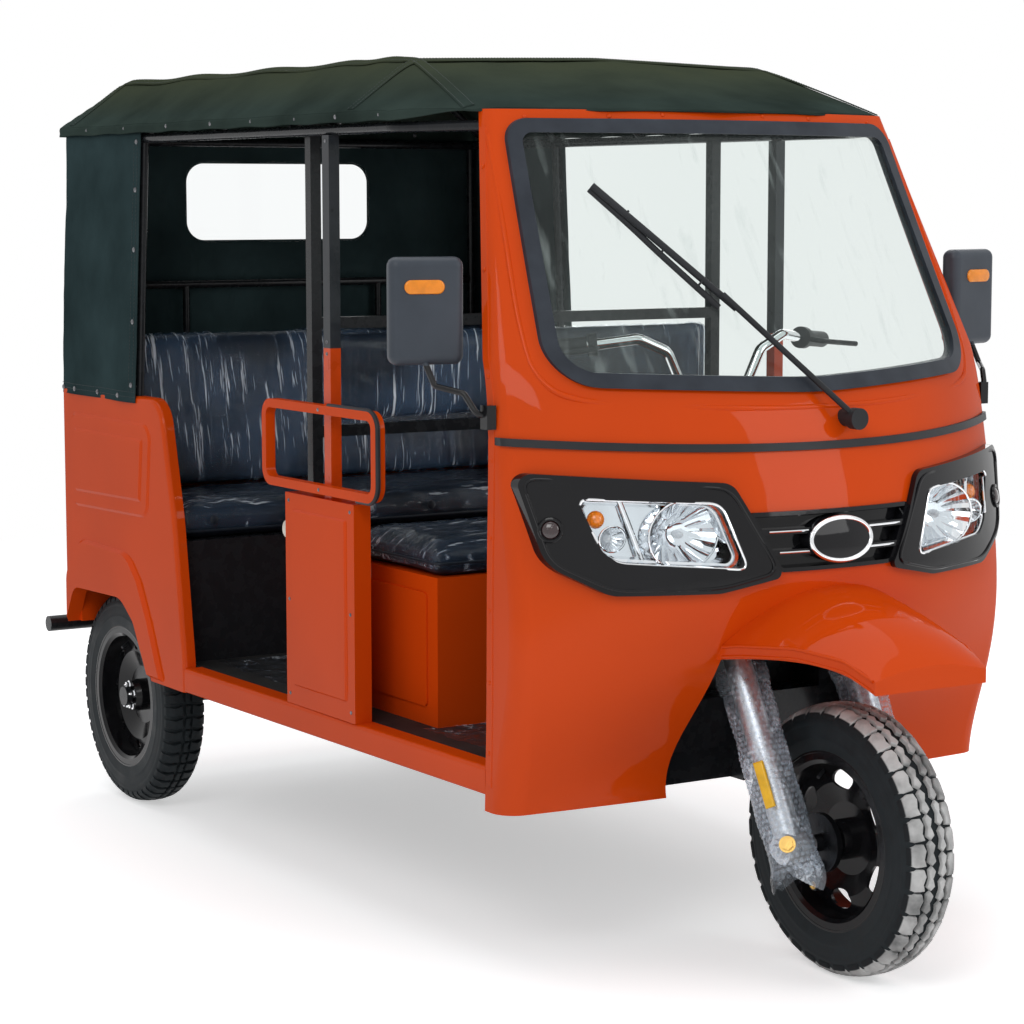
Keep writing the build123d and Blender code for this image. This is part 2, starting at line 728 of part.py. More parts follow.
def rear_axle():
    """Casing, axle tube, brake plate, stub and nut turned as one profile each side."""
    shoulder = sqrt(CASING_RADIUS ** 2 - AXLE_RADIUS ** 2)
    plate, nut = DRUM_FACE + 22, TRACK / 2 + 39
    slope = sqrt(0.5) * CASING_RADIUS
    outline = [ThreePointArc((0, CASING_RADIUS), (slope, slope), (shoulder, AXLE_RADIUS)),
               Polyline((shoulder, AXLE_RADIUS), (DRUM_FACE, AXLE_RADIUS), (DRUM_FACE, 92), (plate, 92),
                        (plate, HUB_BORE), (nut, HUB_BORE), (nut, 24), (nut + 15, 24), (nut + 15, 0), (0, 0),
                        (0, CASING_RADIUS))]
    return both(Pos(0, WHEELBASE, TYRE_RADIUS) * revolve(make_face(outline), Axis.X))


def propeller_shaft():
    shaft = rod((0, 1080, 305), (0, 2090, 275), 18)
    return shaft - engine() - Pos(0, WHEELBASE, TYRE_RADIUS) * Sphere(CASING_RADIUS)


def leaf_springs():
    low = ThreePointArc((1790, 312), (2150, 299.5), (2372, 312))
    high = ThreePointArc((2372, 330), (2085, 317), (1790, 330))
    leaf = make_face([low, Line((2372, 312), (2372, 330)), high, Line((1790, 330), (1790, 312))])
    return both(sideways(leaf, 275, 305)) - rod((-400, WHEELBASE, TYRE_RADIUS), (400, WHEELBASE, TYRE_RADIUS), AXLE_RADIUS)


def engine():
    return block((-ENGINE_X, ENGINE_X), (790, 1090), (292, 600))


def exhaust():
    silencer = rod((290, 1200, 272), (290, 1640, 272), 46)
    pipe = rod((290, 1640, 272), (290, 1760, 272), 17) + rod((290, 1060, 300), (290, 1210, 278), 17)
    link = rod((150, 1050, 306), (290, 1070, 300), 17)
    hangers = block((282, 298), (1260, 1290), (310, RAIL_Z[0])) + block((282, 298), (1550, 1580), (310, RAIL_Z[0]))
    return silencer + pipe + link + hangers - engine()


# ---------------------------------------------------------------- front fork and handlebar
CROWN = (604.0, 642.0)
CLAMP_HEIGHT = 1060.0


def along_axis(sketch, low, high):
    """Prism of a plan drawn square to the steering axis between two heights on the axis."""
    base = Plane(origin=on_axis(low), x_dir=(1, 0, 0), z_dir=Vector(*on_axis(high)) - Vector(*on_axis(low)))
    return extrude(base * sketch, amount=(high - low) / cos(radians(RAKE)))


LEG_AHEAD = AXIS_STATION * cos(radians(RAKE))


def crown_plan():
    reach, lead = LEG_HALF_SPACING, -LEG_AHEAD
    plan = make_face(Polyline((-reach, lead - 24), (0, -32), (reach, lead - 24), (reach, lead + 26), (0, 26),
                              (-reach, lead + 26), close=True)) + Circle(30)
    for side in (-1, 1):
        plan += Pos(side * reach, lead) * Circle(LEG_RADIUS + 8)
    return plan


def fork():
    crown = along_axis(crown_plan(), *CROWN)
    stem = rod(on_axis(CROWN[1] - 4), on_axis(CLAMP_HEIGHT - 12), STEM_RADIUS)
    lock_ring = rod(on_axis(HEAD_TUBE[1] + 8), on_axis(HEAD_TUBE[1] + 20), 23)
    shoulder = rod(on_axis(CROWN[1] - 4), on_axis(HEAD_TUBE[0] - 8), 22)
    return crown + stem + lock_ring + shoulder


SLIDER_TOP = 588.0
WRAP = (292.0, 584.0)
AXLE_LUG = 31.0


def fork_sliders():
    legs = None
    for side in (-1, 1):
        foot = Pos(*on_leg(side, TYRE_RADIUS)) * Rot(0, 90, 0) * Cylinder(AXLE_LUG, 2 * LEG_RADIUS - 6)
        leg = rod(on_leg(side, TYRE_RADIUS), on_leg(side, CROWN[0] + 26), LEG_RADIUS) + foot
        legs = leg if legs is None else legs + leg
    axle = rod((-LEG_HALF_SPACING - 40, 0, TYRE_RADIUS), (LEG_HALF_SPACING + 40, 0, TYRE_RADIUS), FRONT_BORE)
    collars = both(rod((46, 0, TYRE_RADIUS), (LEG_HALF_SPACING - 20, 0, TYRE_RADIUS), 17))
    nuts = both(rod((LEG_HALF_SPACING + 24, 0, TYRE_RADIUS), (LEG_HALF_SPACING + 36, 0, TYRE_RADIUS), 19))
    plate = rod((-72, 0, TYRE_RADIUS), (-60, 0, TYRE_RADIUS), 58)
    lever = block((-84, -76), (-8, 8), (TYRE_RADIUS - 92, TYRE_RADIUS - 40))
    cam = rod((-86, 0, TYRE_RADIUS - 44), (-60, 0, TYRE_RADIUS - 44), 9)
    return legs + axle + collars + nuts + plate + lever + cam - along_axis(crown_plan(), *CROWN)


def fork_wraps():
    sleeves = None
    for side in (-1, 1):
        sleeve = rod(on_leg(side, WRAP[0]), on_leg(side, WRAP[1]), WRAP_RADIUS)
        sleeves = sleeve if sleeves is None else sleeves + sleeve
    return sleeves - fork_sliders() - along_axis(crown_plan(), *CROWN)


BAR_RADIUS = 11.0
# one side of the bent handlebar from the clamp outwards: x, station, z
BAR_BENDS = [(52, 453, 1062), (118, 452, 1196), (182, 462, 1224), (252, 496, 1214), (362, 556, 1204)]
SWITCH = (0.06, 0.20)           # shares of the last straight run taken by the switch housing
GRIP = (0.22, 0.98)


def on_grip(side, share):
    (x0, y0, z0), (x1, y1, z1) = BAR_BENDS[-2], BAR_BENDS[-1]
    return (side * (x0 + share * (x1 - x0)), y0 + share * (y1 - y0), z0 + share * (z1 - z0))


def handlebar():
    left = [(-x, y, z) for x, y, z in reversed(BAR_BENDS)]
    bar = tube(left + BAR_BENDS, BAR_RADIUS, [26] * (2 * len(BAR_BENDS) - 2))
    clamp = along_axis(RectangleRounded(88, 52, 10), CLAMP_HEIGHT - 16, CLAMP_HEIGHT + 16)
    clamp -= rod(on_axis(CLAMP_HEIGHT - 60), on_axis(CLAMP_HEIGHT - 12), STEM_RADIUS)
    return bar + clamp


def handlebar_controls():
    parts = None
    for side in (-1, 1):
        grip = rod(on_grip(side, GRIP[0]), on_grip(side, GRIP[1]), 17)
        switch = rod(on_grip(side, SWITCH[0]), on_grip(side, SWITCH[1]), 23)
        root = Vector(*on_grip(side, SWITCH[1] - 0.06))
        elbow = root + Vector(side * 16, -48, -6)
        tip = elbow + Vector(side * 112, 26, -10)
        lever = tube([tuple(root), tuple(elbow), tuple(tip)], 5.5, 10)
        piece = grip + switch + lever
        parts = piece if parts is None else parts + piece
    left = [(-x, y, z) for x, y, z in reversed(BAR_BENDS)]
    return parts - tube(left + BAR_BENDS, BAR_RADIUS, [26] * (2 * len(BAR_BENDS) - 2))


# ---------------------------------------------------------------- nodes
NODES = {
    "chassis_frame": chassis_frame, "floor_pan": floor_pan, "side_sills": side_sills,
    "front_cowl": front_cowl, "front_bulkhead": front_bulkhead, "instrument_panel": instrument_panel,
    "windshield_seal": windshield_seal, "windshield_glass": windshield_glass, "wiper": wiper,
    "lamp_surrounds": lamp_surrounds, "headlamp_reflectors": headlamp_reflectors,
    "headlamp_lenses": headlamp_lenses, "grille": grille, "belt_moulding": belt_moulding,
    "front_mudguard": front_mudguard, "mirrors": mirrors, "mirror_glasses": mirror_glasses,
    "quarter_panels": quarter_panels, "tail_panel": tail_panel, "tail_lamps": tail_lamps,
    "rear_bumper": rear_bumper, "centre_panels": centre_panels, "centre_pillars": centre_pillars,
    "guard_loops": guard_loops, "driver_seat_box": driver_seat_box, "driver_seat": driver_seat,
    "driver_backrest_frame": driver_backrest, "driver_backrest_pad": driver_backrest_pad,
    "bench_base": bench_base, "bench_cushion": bench_cushion, "bench_backrest": bench_backrest,
    "inner_rails": inner_rails, "roof_frame": roof_frame, "roof_bows": roof_bows, "canopy_roof": canopy_roof,
    "canopy_curtain": canopy_curtain, "rear_window": rear_window, "rear_axle": rear_axle, "propeller_shaft": propeller_shaft,
    "leaf_springs": leaf_springs, "engine": engine, "exhaust": exhaust, "fork": fork,
    "fork_sliders": fork_sliders, "fork_wraps": fork_wraps, "handlebar": handlebar,
    "handlebar_controls": handlebar_controls,
}

for name, make in NODES.items():
    save(name, make())

save("front_rim", FRONT_CENTRE * rim(FRONT_BORE + RUNNING_GAP, FRONT_WINDOWS))
save("front_tyre", FRONT_CENTRE * tyre(FRONT_TYRE_WIDTH))
for label, place in (("right", RIGHT_CENTRE), ("left", LEFT_CENTRE)):
    wheel = rim(HUB_BORE + RUNNING_GAP, REAR_WINDOWS)
    save(f"rear_{label}_rim", place * (wheel if label == "right" else mirror(wheel, Plane.YZ)))
    save(f"rear_{label}_tyre", place * tyre(REAR_TYRE_WIDTH))
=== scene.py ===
"""Finished look of the auto rickshaw: one operator for each group of pieces, laid out as an add-on."""

from contextlib import contextmanager
from functools import cache
from math import ceil, cos, exp, hypot, pi, radians, sin, sqrt, tan

import bmesh
import bpy
import numpy as np
from bpy.props import FloatProperty, FloatVectorProperty, IntProperty, PointerProperty
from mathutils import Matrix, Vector, noise
from mathutils.bvhtree import BVHTree


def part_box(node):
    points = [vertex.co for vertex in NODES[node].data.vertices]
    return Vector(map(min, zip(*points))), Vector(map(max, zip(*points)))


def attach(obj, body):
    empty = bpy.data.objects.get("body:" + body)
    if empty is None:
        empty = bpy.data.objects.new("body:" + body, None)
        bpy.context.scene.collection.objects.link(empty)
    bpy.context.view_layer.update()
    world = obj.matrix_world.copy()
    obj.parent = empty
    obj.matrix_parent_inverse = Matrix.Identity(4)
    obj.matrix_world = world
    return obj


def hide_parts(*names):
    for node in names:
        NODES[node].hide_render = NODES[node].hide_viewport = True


bl_info = {
    "name": "Auto rickshaw finish",
    "version": (1, 0, 0),
    "blender": (4, 5, 0),
    "location": "View3D > Sidebar > Rickshaw",
    "description": "Dresses the packed auto rickshaw with its soft goods, trim and finishes",
    "category": "Object",
}

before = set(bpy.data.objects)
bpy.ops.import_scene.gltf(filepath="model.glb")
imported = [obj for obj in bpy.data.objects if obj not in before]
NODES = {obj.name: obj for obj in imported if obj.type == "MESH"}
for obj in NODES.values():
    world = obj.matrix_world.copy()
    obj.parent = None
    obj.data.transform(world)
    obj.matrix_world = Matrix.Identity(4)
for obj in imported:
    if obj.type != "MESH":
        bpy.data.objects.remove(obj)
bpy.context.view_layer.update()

# ---- sizes read from the frame, metres
FRONT_AXLE = sum(v.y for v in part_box("front_tyre")) / 2          # station zero
TYRE_RADIUS = (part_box("front_tyre")[1].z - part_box("front_tyre")[0].z) / 2
RAKE = radians(27.6)
MIRROR_LIP = 0.013              # shell below each mirror glass


def at(x, station, z):
    """Point from a station measured backwards from the front axle."""
    return Vector((x, FRONT_AXLE + station, z))


# ---- settings
def length(name, default, text, high=0.2):
    return FloatProperty(name=name, description=text, default=default, min=0.0, max=high, precision=4,
                         unit="LENGTH", subtype="DISTANCE")


def factor(name, default, text, high=1.0):
    return FloatProperty(name=name, description=text, default=default, min=0.0, max=high, subtype="FACTOR")


def tone(name, default, text):
    return FloatVectorProperty(name=name, description=text, default=default, size=3, min=0.0, max=1.0,
                               subtype="COLOR")


def number(name, default, text, high=200):
    return IntProperty(name=name, description=text, default=default, min=3, max=high)


def power(name, default, text):
    return FloatProperty(name=name, description=text, default=default, min=0.0, max=1000.0, unit="POWER")


class RICKSHAW_PG_paint(bpy.types.PropertyGroup):
    """Colours of the painted, rubber and cloth surfaces"""
    orange: tone("Body orange", (0.70, 0.068, 0.004), "Paint of the cowl, panels and sills")
    black: tone("Frame black", (0.012, 0.013, 0.015), "Paint of the frame, posts and bumper")
    roof: tone("Roof canvas", (0.044, 0.064, 0.056), "Lighter tone of the roof canvas")
    curtain: tone("Curtain canvas", (0.042, 0.070, 0.074), "Lighter tone of the rear curtain")
    vinyl: tone("Seat vinyl", (0.014, 0.019, 0.028), "Lighter tone of the seat covers")
    tread_dust: tone("Tread dust", (0.62, 0.62, 0.61), "Road dust on the front tread")
    post_split: length("Post colour change", 1.192, "Height where a post's orange gives way to black", 2.0)


class RICKSHAW_PG_roof(bpy.types.PropertyGroup):
    """Canvas roof"""
    cloth: length("Canvas thickness", 0.003, "Thickness of the coated canvas", 0.02)
    seam_width: length("Seam width", 0.026, "Width of a doubled seam")
    stitch: length("Stitch length", 0.005, "Length of one stitch", 0.02)
    stud: length("Stud radius", 0.0055, "Radius of a hem stud", 0.02)


class RICKSHAW_PG_curtain(bpy.types.PropertyGroup):
    """Rear curtain"""
    cloth: length("Canvas thickness", 0.003, "Thickness of the curtain", 0.02)
    stud: length("Snap radius", 0.0065, "Radius of a snap fastener", 0.02)


class RICKSHAW_PG_seats(bpy.types.PropertyGroup):
    """Seats"""
    channel: length("Channel depth", 0.006, "Depth of the sewn channels of the bench backrest", 0.02)
    piping: length("Piping radius", 0.003, "Radius of the welt cord", 0.01)
    fold: length("Film fold", 0.0035, "Height of the creases in the clear film", 0.02)


class RICKSHAW_PG_wheels(bpy.types.PropertyGroup):
    """Tyres and wheels"""
    front_pitches: number("Front tread pitches", 34, "Tread blocks round the front tyre")
    rear_pitches: number("Rear tread pitches", 52, "Tread bars round a rear tyre")
    nut: length("Wheel nut radius", 0.0075, "Radius of a wheel nut", 0.03)


class RICKSHAW_PG_lamps(bpy.types.PropertyGroup):
    """Headlamps and grille"""
    bead: length("Lens bead", 0.0026, "Radius of the bright bead round a lens", 0.01)
    strip: length("Grille strip", 0.0022, "Radius of the bright strips on the grille", 0.01)


class RICKSHAW_PG_fork(bpy.types.PropertyGroup):
    """Wrapped fork legs"""
    bubble: length("Bubble radius", 0.0046, "Radius of one bubble of the film", 0.02)
    pitch: length("Bubble pitch", 0.0112, "Distance between rows of bubbles", 0.05)


class RICKSHAW_PG_trim(bpy.types.PropertyGroup):
    """Cowl trim"""
    rivet: length("Rivet radius", 0.0052, "Radius of a cowl rivet", 0.02)
    blade: length("Blade radius", 0.0042, "Half thickness of the wiper's rubber", 0.02)


class RICKSHAW_PG_stage(bpy.types.PropertyGroup):
    """Studio"""
    key: power("Key lamp", 105.0, "Power of the lamp over the right front")
    front: power("Front lamp", 60.0, "Power of the lamp ahead of the nose")
    overhead: power("Overhead lamp", 80.0, "Power of the lamp above")
    back: power("Back lamp", 55.0, "Power of the lamp behind")
    ambient: factor("Ambient light", 0.42, "Strength of the even light from all round", 2.0)


def paint():
    return bpy.context.scene.rickshaw_paint


def darker(colour, factor):
    return tuple(c * factor for c in colour)


# ---- nodes
class Nodes:
    """A node tree under construction."""

    def __init__(self, tree):
        self.tree = tree

    def put(self, value, socket):
        """Link another node's output, or set a plain value."""
        if isinstance(value, bpy.types.NodeSocket):
            self.tree.links.new(value, socket)
        elif value is not None:
            socket.default_value = (*value, 1) if socket.type == "RGBA" else value

    def add(self, kind, *inputs, **values):
        """Node with its inputs filled in order or by name; other names are its settings."""
        node = self.tree.nodes.new(kind)
        for key, value in values.items():
            name = key.replace("_", " ")
            if name in node.inputs:
                self.put(value, node.inputs[name])
            else:
                setattr(node, key, value)
        for socket, value in zip(node.inputs, inputs):
            self.put(value, socket)
        return node

    def out(self, kind, *inputs, **values):
        return self.add(kind, *inputs, **values).outputs[0]

    def maths(self, operation, first, second=None):
        return self.out("ShaderNodeMath", first, second, operation=operation)

    def between(self, share, first, second):
        return self.out("ShaderNodeMixShader", share, first, second)

    def seen(self):
        """1 for what the camera sees, itself or by glass and gloss."""
        path = self.add("ShaderNodeLightPath").outputs
        share = self.maths("MAXIMUM", path["Is Camera Ray"], path["Is Transmission Ray"])
        return self.maths("MAXIMUM", share, path["Is Glossy Ray"])


class Finish(Nodes):
    """A material whose patterns lie on the piece's own coordinates."""

    def __init__(self, name, **sockets):
        self.material = bpy.data.materials.new(name)
        self.material.use_nodes = True
        super().__init__(self.material.node_tree)
        self.shader = self.tree.nodes["Principled BSDF"]
        self.end = self.tree.nodes["Material Output"].inputs["Surface"]
        self.place = self.add("ShaderNodeTexCoord").outputs["Object"]
        self.height = None
        self.feed(**sockets)

    def feed(self, **sockets):
        for name, value in sockets.items():
            self.put(value, self.shader.inputs[name.replace("_", " ")])

    def pattern(self, kind, scale, detail=None, stretch=None, turn=None, **values):
        """Texture, stretched or turned as asked."""
        source = self.place
        if stretch or turn:
            source = self.out("ShaderNodeMapping", source, Scale=stretch or (1, 1, 1), Rotation=turn or (0, 0, 0))
        node = self.add("ShaderNodeTex" + kind, Vector=source, **values)
        for name, value in (("Scale", scale), ("Detail", detail)):
            if name in node.inputs:
                self.put(value, node.inputs[name])
        return node.outputs[0]

    def levels(self, value, low=0.3, high=0.7, to_low=0.0, to_high=1.0):
        return self.out("ShaderNodeMapRange", value, low, high, to_low, to_high)

    def mix(self, share, first, second):
        node = self.add("ShaderNodeMix", share, data_type="RGBA")
        self.put(first, node.inputs[6])
        self.put(second, node.inputs[7])
        return node.outputs[2]

    def axis(self, index):
        return self.add("ShaderNodeSeparateXYZ", self.place).outputs[index]

    def relief(self, value, distance, under=None):
        return self.out("ShaderNodeBump", Distance=distance, Height=value, Normal=under)

    def bump(self, value, distance):
        """One more layer of relief, its depth in metres."""
        self.height = self.relief(value, distance, self.height)
        self.feed(Normal=self.height)

    def see_through(self, tint, rough, sheen, relief=None, milk=None, milky=None):
        """Clear: tinted, milky by a share, and mirror-like at a glance from its front."""
        surface = self.out("ShaderNodeBsdfTransparent", Color=tint)
        if milk is not None:
            surface = self.between(milk, surface, self.out("ShaderNodeBsdfDiffuse", Color=milky))
        gloss = self.out("ShaderNodeBsdfGlossy", Roughness=rough, Normal=relief)
        glance = self.out("ShaderNodeLayerWeight", Blend=sheen, Normal=relief)
        back = self.add("ShaderNodeNewGeometry").outputs["Backfacing"]
        share = self.maths("MULTIPLY", glance, self.maths("SUBTRACT", 1.0, back))
        self.put(self.between(share, surface, gloss), self.end)
        self.tree.nodes.remove(self.shader)
        return self


# ---- materials
RUBBER_GRAIN = ("Noise", 700.0, 4.0)
IRON_GRAIN = ("Noise", 60.0, 7.0)


def speckled(name, tones, speck, rough, bumps=(), span=(0.3, 0.7), **sockets):
    """Tone that drifts between two colours over a pattern of (kind, scale, detail). rough is one value or
    two over the same pattern, and bumps are (pattern, depth)."""
    f = Finish(name, **sockets)
    spots = f.pattern(*speck)
    f.feed(Base_Color=f.mix(f.levels(spots, *span), *tones))
    f.feed(Roughness=f.levels(spots, 0.3, 0.7, *rough) if isinstance(rough, tuple) else rough)
    for pattern, depth in bumps:
        f.bump(spots if pattern == speck else f.pattern(*pattern), depth)
    return f


def matt(name, tones, speck, rough, grain, depth, shine=0.2, span=(0.3, 0.7)):
    """Rubber or plastic: two tones over a speck, and a grain of its own in relief."""
    return speckled(name, tones, speck, rough, [(grain, depth)], span, Specular_IOR_Level=shine)


def orange_paint():
    """Glossy sprayed orange over pressed steel."""
    f = speckled("orange_paint", (darker(paint().orange, 0.88), paint().orange), ("Noise", 1.7, 3.0), 0.3,
                 [(("Noise", 3.2, 1.0), 0.0012), (("Noise", 420.0, 2.0), 0.00003)], (0.35, 0.65),
                 Coat_Weight=0.24, Coat_Roughness=0.035, Specular_IOR_Level=0.0)
    f.feed(Roughness=f.levels(f.pattern("Noise", 22.0, 4.0), 0.3, 0.7, 0.28, 0.36))
    return f


def black_paint(name, colour, rough):
    return speckled(name, (colour, darker(colour, 1.4)), ("Noise", 38.0, 5.0), rough,
                    [(("Noise", 300.0, 2.0), 0.00006)], (0.3, 0.8), Coat_Weight=0.12, Coat_Roughness=0.12,
                    Specular_IOR_Level=0.15)


def mirror_shell():
    """Grained grey shells above, glossy black arms below them."""
    f = Finish("mirror_shell", Specular_IOR_Level=0.3)
    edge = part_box("mirror_glasses")[0][2] - MIRROR_LIP
    shell = f.levels(f.axis(2), edge - 0.002, edge)
    grain = f.mix(f.levels(f.pattern("Noise", 9.0, 5.0)), (0.036, 0.045, 0.058), (0.050, 0.060, 0.076))
    f.feed(Base_Color=f.mix(shell, (0.006, 0.006, 0.007), grain), Roughness=f.levels(shell, 0.0, 1.0, 0.15, 0.45))
    f.bump(f.pattern("Voronoi", 900.0), 0.00008)
    return f


def chrome(name, rough, colour):
    return speckled(name, (colour, darker(colour, 0.9)), ("Noise", 18.0, 5.0), (rough * 0.6, rough * 1.6),
                    Metallic=1.0)


def screen_glass():
    """Windscreen: clear, with rain streaks and a faint film of dust."""
    f = Finish("screen_glass")
    streaks = f.pattern("Noise", 9.0, 6.0, (4.5, 1.0, 0.7), (0, 0.35, 0), Distortion=0.6)
    dust = f.levels(f.pattern("Noise", 2.2, 4.0), 0.3, 0.7, 0.015, 0.05)
    milk = f.maths("ADD", f.levels(streaks, 0.58, 0.74, 0.0, 0.16), dust)
    return f.see_through((0.90, 0.93, 0.92), 0.02, 0.20, milk=milk, milky=(0.62, 0.70, 0.68))


def canvas(name, high, crown=None):
    """Coated canvas: a fine plain weave under a worn sheen, with soft creases and dust on its top."""
    f = Finish(name, Specular_IOR_Level=0.0)
    cloud = f.pattern("Noise", 4.5, 7.0)
    cloth = f.mix(f.levels(cloud), darker(high, 0.52), high)
    if crown:
        dusty = f.maths("MULTIPLY", f.levels(f.axis(2), *crown), f.levels(cloud, 0.25, 0.6, 0.55, 1.0))
        cloth = f.mix(dusty, cloth, (0.056, 0.066, 0.040))
    f.feed(Base_Color=cloth, Roughness=f.levels(f.pattern("Noise", 12.0, 5.0), 0.3, 0.7, 0.36, 0.55))
    warp, weft = (f.pattern("Wave", 260.0, bands_direction=way, Distortion=0.4) for way in "ZY")
    f.bump(f.maths("MULTIPLY", warp, weft), 0.00022)
    f.bump(f.pattern("Noise", 9.0, 4.0, (1, 1, 0.35), Distortion=0.8), 0.004)
    return f


def seat_vinyl():
    f = speckled("seat_vinyl", (darker(paint().vinyl, 0.56), paint().vinyl), ("Noise", 7.0, 5.0), 0.42,
                 Specular_IOR_Level=0.2)
    f.bump(f.pattern("Voronoi", 520.0, feature="DISTANCE_TO_EDGE"), 0.0003)
    return f


def floor_mat():
    """Ribbed black rubber."""
    f = speckled("floor_rubber", ((0.010, 0.010, 0.011), (0.028, 0.027, 0.026)), ("Noise", 15.0, 6.0), 0.5,
                 Specular_IOR_Level=0.2)
    f.bump(f.pattern("Wave", 60.0, bands_direction="Y"), 0.0012)
    return f


def tinted(name, colour, rough=0.12, glow=0.0, coat=1.0):
    """Moulded lamp plastic with a prismatic back."""
    cells = ("Voronoi", 210.0)
    return speckled(name, (colour, darker(colour, 0.55)), cells, rough, [(cells, 0.0005)], (0.1, 0.8),
                    Coat_Weight=coat, Coat_Roughness=0.03, Specular_IOR_Level=0.3, Emission_Color=colour,
                    Emission_Strength=glow)


def thread():
    f = Finish("sewing_thread", Roughness=0.7)
    f.feed(Base_Color=f.mix(f.pattern("Wave", 900.0, Distortion=1.0), (0.020, 0.028, 0.030),
                            (0.055, 0.066, 0.068)))
    return f


def lamp_lens():
    """Clear lens with faint upright flutes."""
    f = Finish("lamp_lens")
    flutes = f.relief(f.pattern("Wave", 20.0, bands_direction="X", Distortion=0.6), 0.0012)
    return f.see_through((0.95, 0.97, 0.98), 0.03, 0.18, flutes)


def clear_film(name, milk, streak, scale, veil, sheen=0.2, shade=(0.26, 0.46, 0.80)):
    """Thin clear vinyl: a bluish veil crossed by white pulled creases, their white partly milky film and partly a
    painted highlight, with a wet-looking surface.
    """
    f = Finish(name)
    wrinkle = f.pattern("Noise", scale, 4.0, streak, Distortion=1.0)
    fine = f.pattern("Noise", scale * 3.1, 1.5, streak, Distortion=0.8)
    relief = f.relief(f.maths("ADD", wrinkle, f.maths("MULTIPLY", fine, 0.18)), 0.006)
    patch = f.levels(f.pattern("Noise", 4.3, 2.0), 0.38, 0.62, 0.12, 1.0)
    both = f.maths("ADD", f.maths("MULTIPLY", wrinkle, 0.6), f.maths("MULTIPLY", fine, 0.4))
    # painted highlight: the creases are made white, partly as milky film and partly standing in for the highlights
    # along them
    crease = f.maths("MULTIPLY", f.levels(both, 0.55, 0.65, 0.0, milk * 5), patch)
    return f.see_through((0.96, 0.98, 1.0), 0.12, sheen, relief,
                         f.maths("ADD", crease, f.maths("MULTIPLY", patch, veil)),
                         f.mix(f.levels(crease, 0.0, milk * 2), shade, (0.86, 0.93, 1.0)))


def front_tread():
    """Rubber blocks dusted pale from the road on their tops, dark at the shoulders."""
    f = Finish("front_tread", Roughness=0.75, Specular_IOR_Level=0.12)
    top = f.levels(f.maths("ABSOLUTE", f.axis(0)), 0.0505, 0.0525, 1.0, 0.0)
    dust = f.levels(f.pattern("Noise", 17.0, 6.0), 0.30, 0.62, 0.25, 1.0)
    f.feed(Base_Color=f.mix(f.maths("MULTIPLY", top, dust), (0.016, 0.018, 0.020), paint().tread_dust))
    f.bump(f.pattern(*RUBBER_GRAIN), 0.00016)
    return f


def fork_metal():
    """Cast alloy legs, with the brake parts beside the wheel blackened."""
    f = Finish("fork_metal", Metallic=0.85)
    cast = f.levels(f.pattern("Noise", 90.0, 5.0))
    leg = f.levels(f.maths("ABSOLUTE", f.axis(0)), 0.0885, 0.0900)
    f.feed(Base_Color=f.mix(leg, (0.020, 0.021, 0.024), f.mix(cast, (0.46, 0.46, 0.47), (0.62, 0.62, 0.63))),
           Roughness=f.levels(cast, 0.0, 1.0, 0.26, 0.42))
    f.bump(cast, 0.0003)
    return f


def post_paint():
    """Orange up to the shoulder rail and black above it."""
    f = Finish("post_paint", Coat_Weight=0.25, Coat_Roughness=0.08, Specular_IOR_Level=0.12)
    split = paint().post_split
    above = f.levels(f.axis(2), split - 0.001, split + 0.001)
    speck = f.levels(f.pattern("Noise", 30.0, 5.0))
    f.feed(Base_Color=f.mix(above, f.mix(speck, darker(paint().orange, 0.82), darker(paint().orange, 0.95)),
                            f.mix(speck, (0.013, 0.016, 0.020), (0.024, 0.028, 0.034))),
           Roughness=f.levels(speck, 0.0, 1.0, 0.26, 0.38))
    return f


def enamel(name, colour, rough=0.2, metallic=0.0):
    """Plain small-part finish with a little wear in its tone."""
    return speckled(name, (colour, darker(colour, 0.75)), ("Noise", 45.0, 4.0), (rough * 0.8, rough * 1.3),
                    Metallic=metallic)


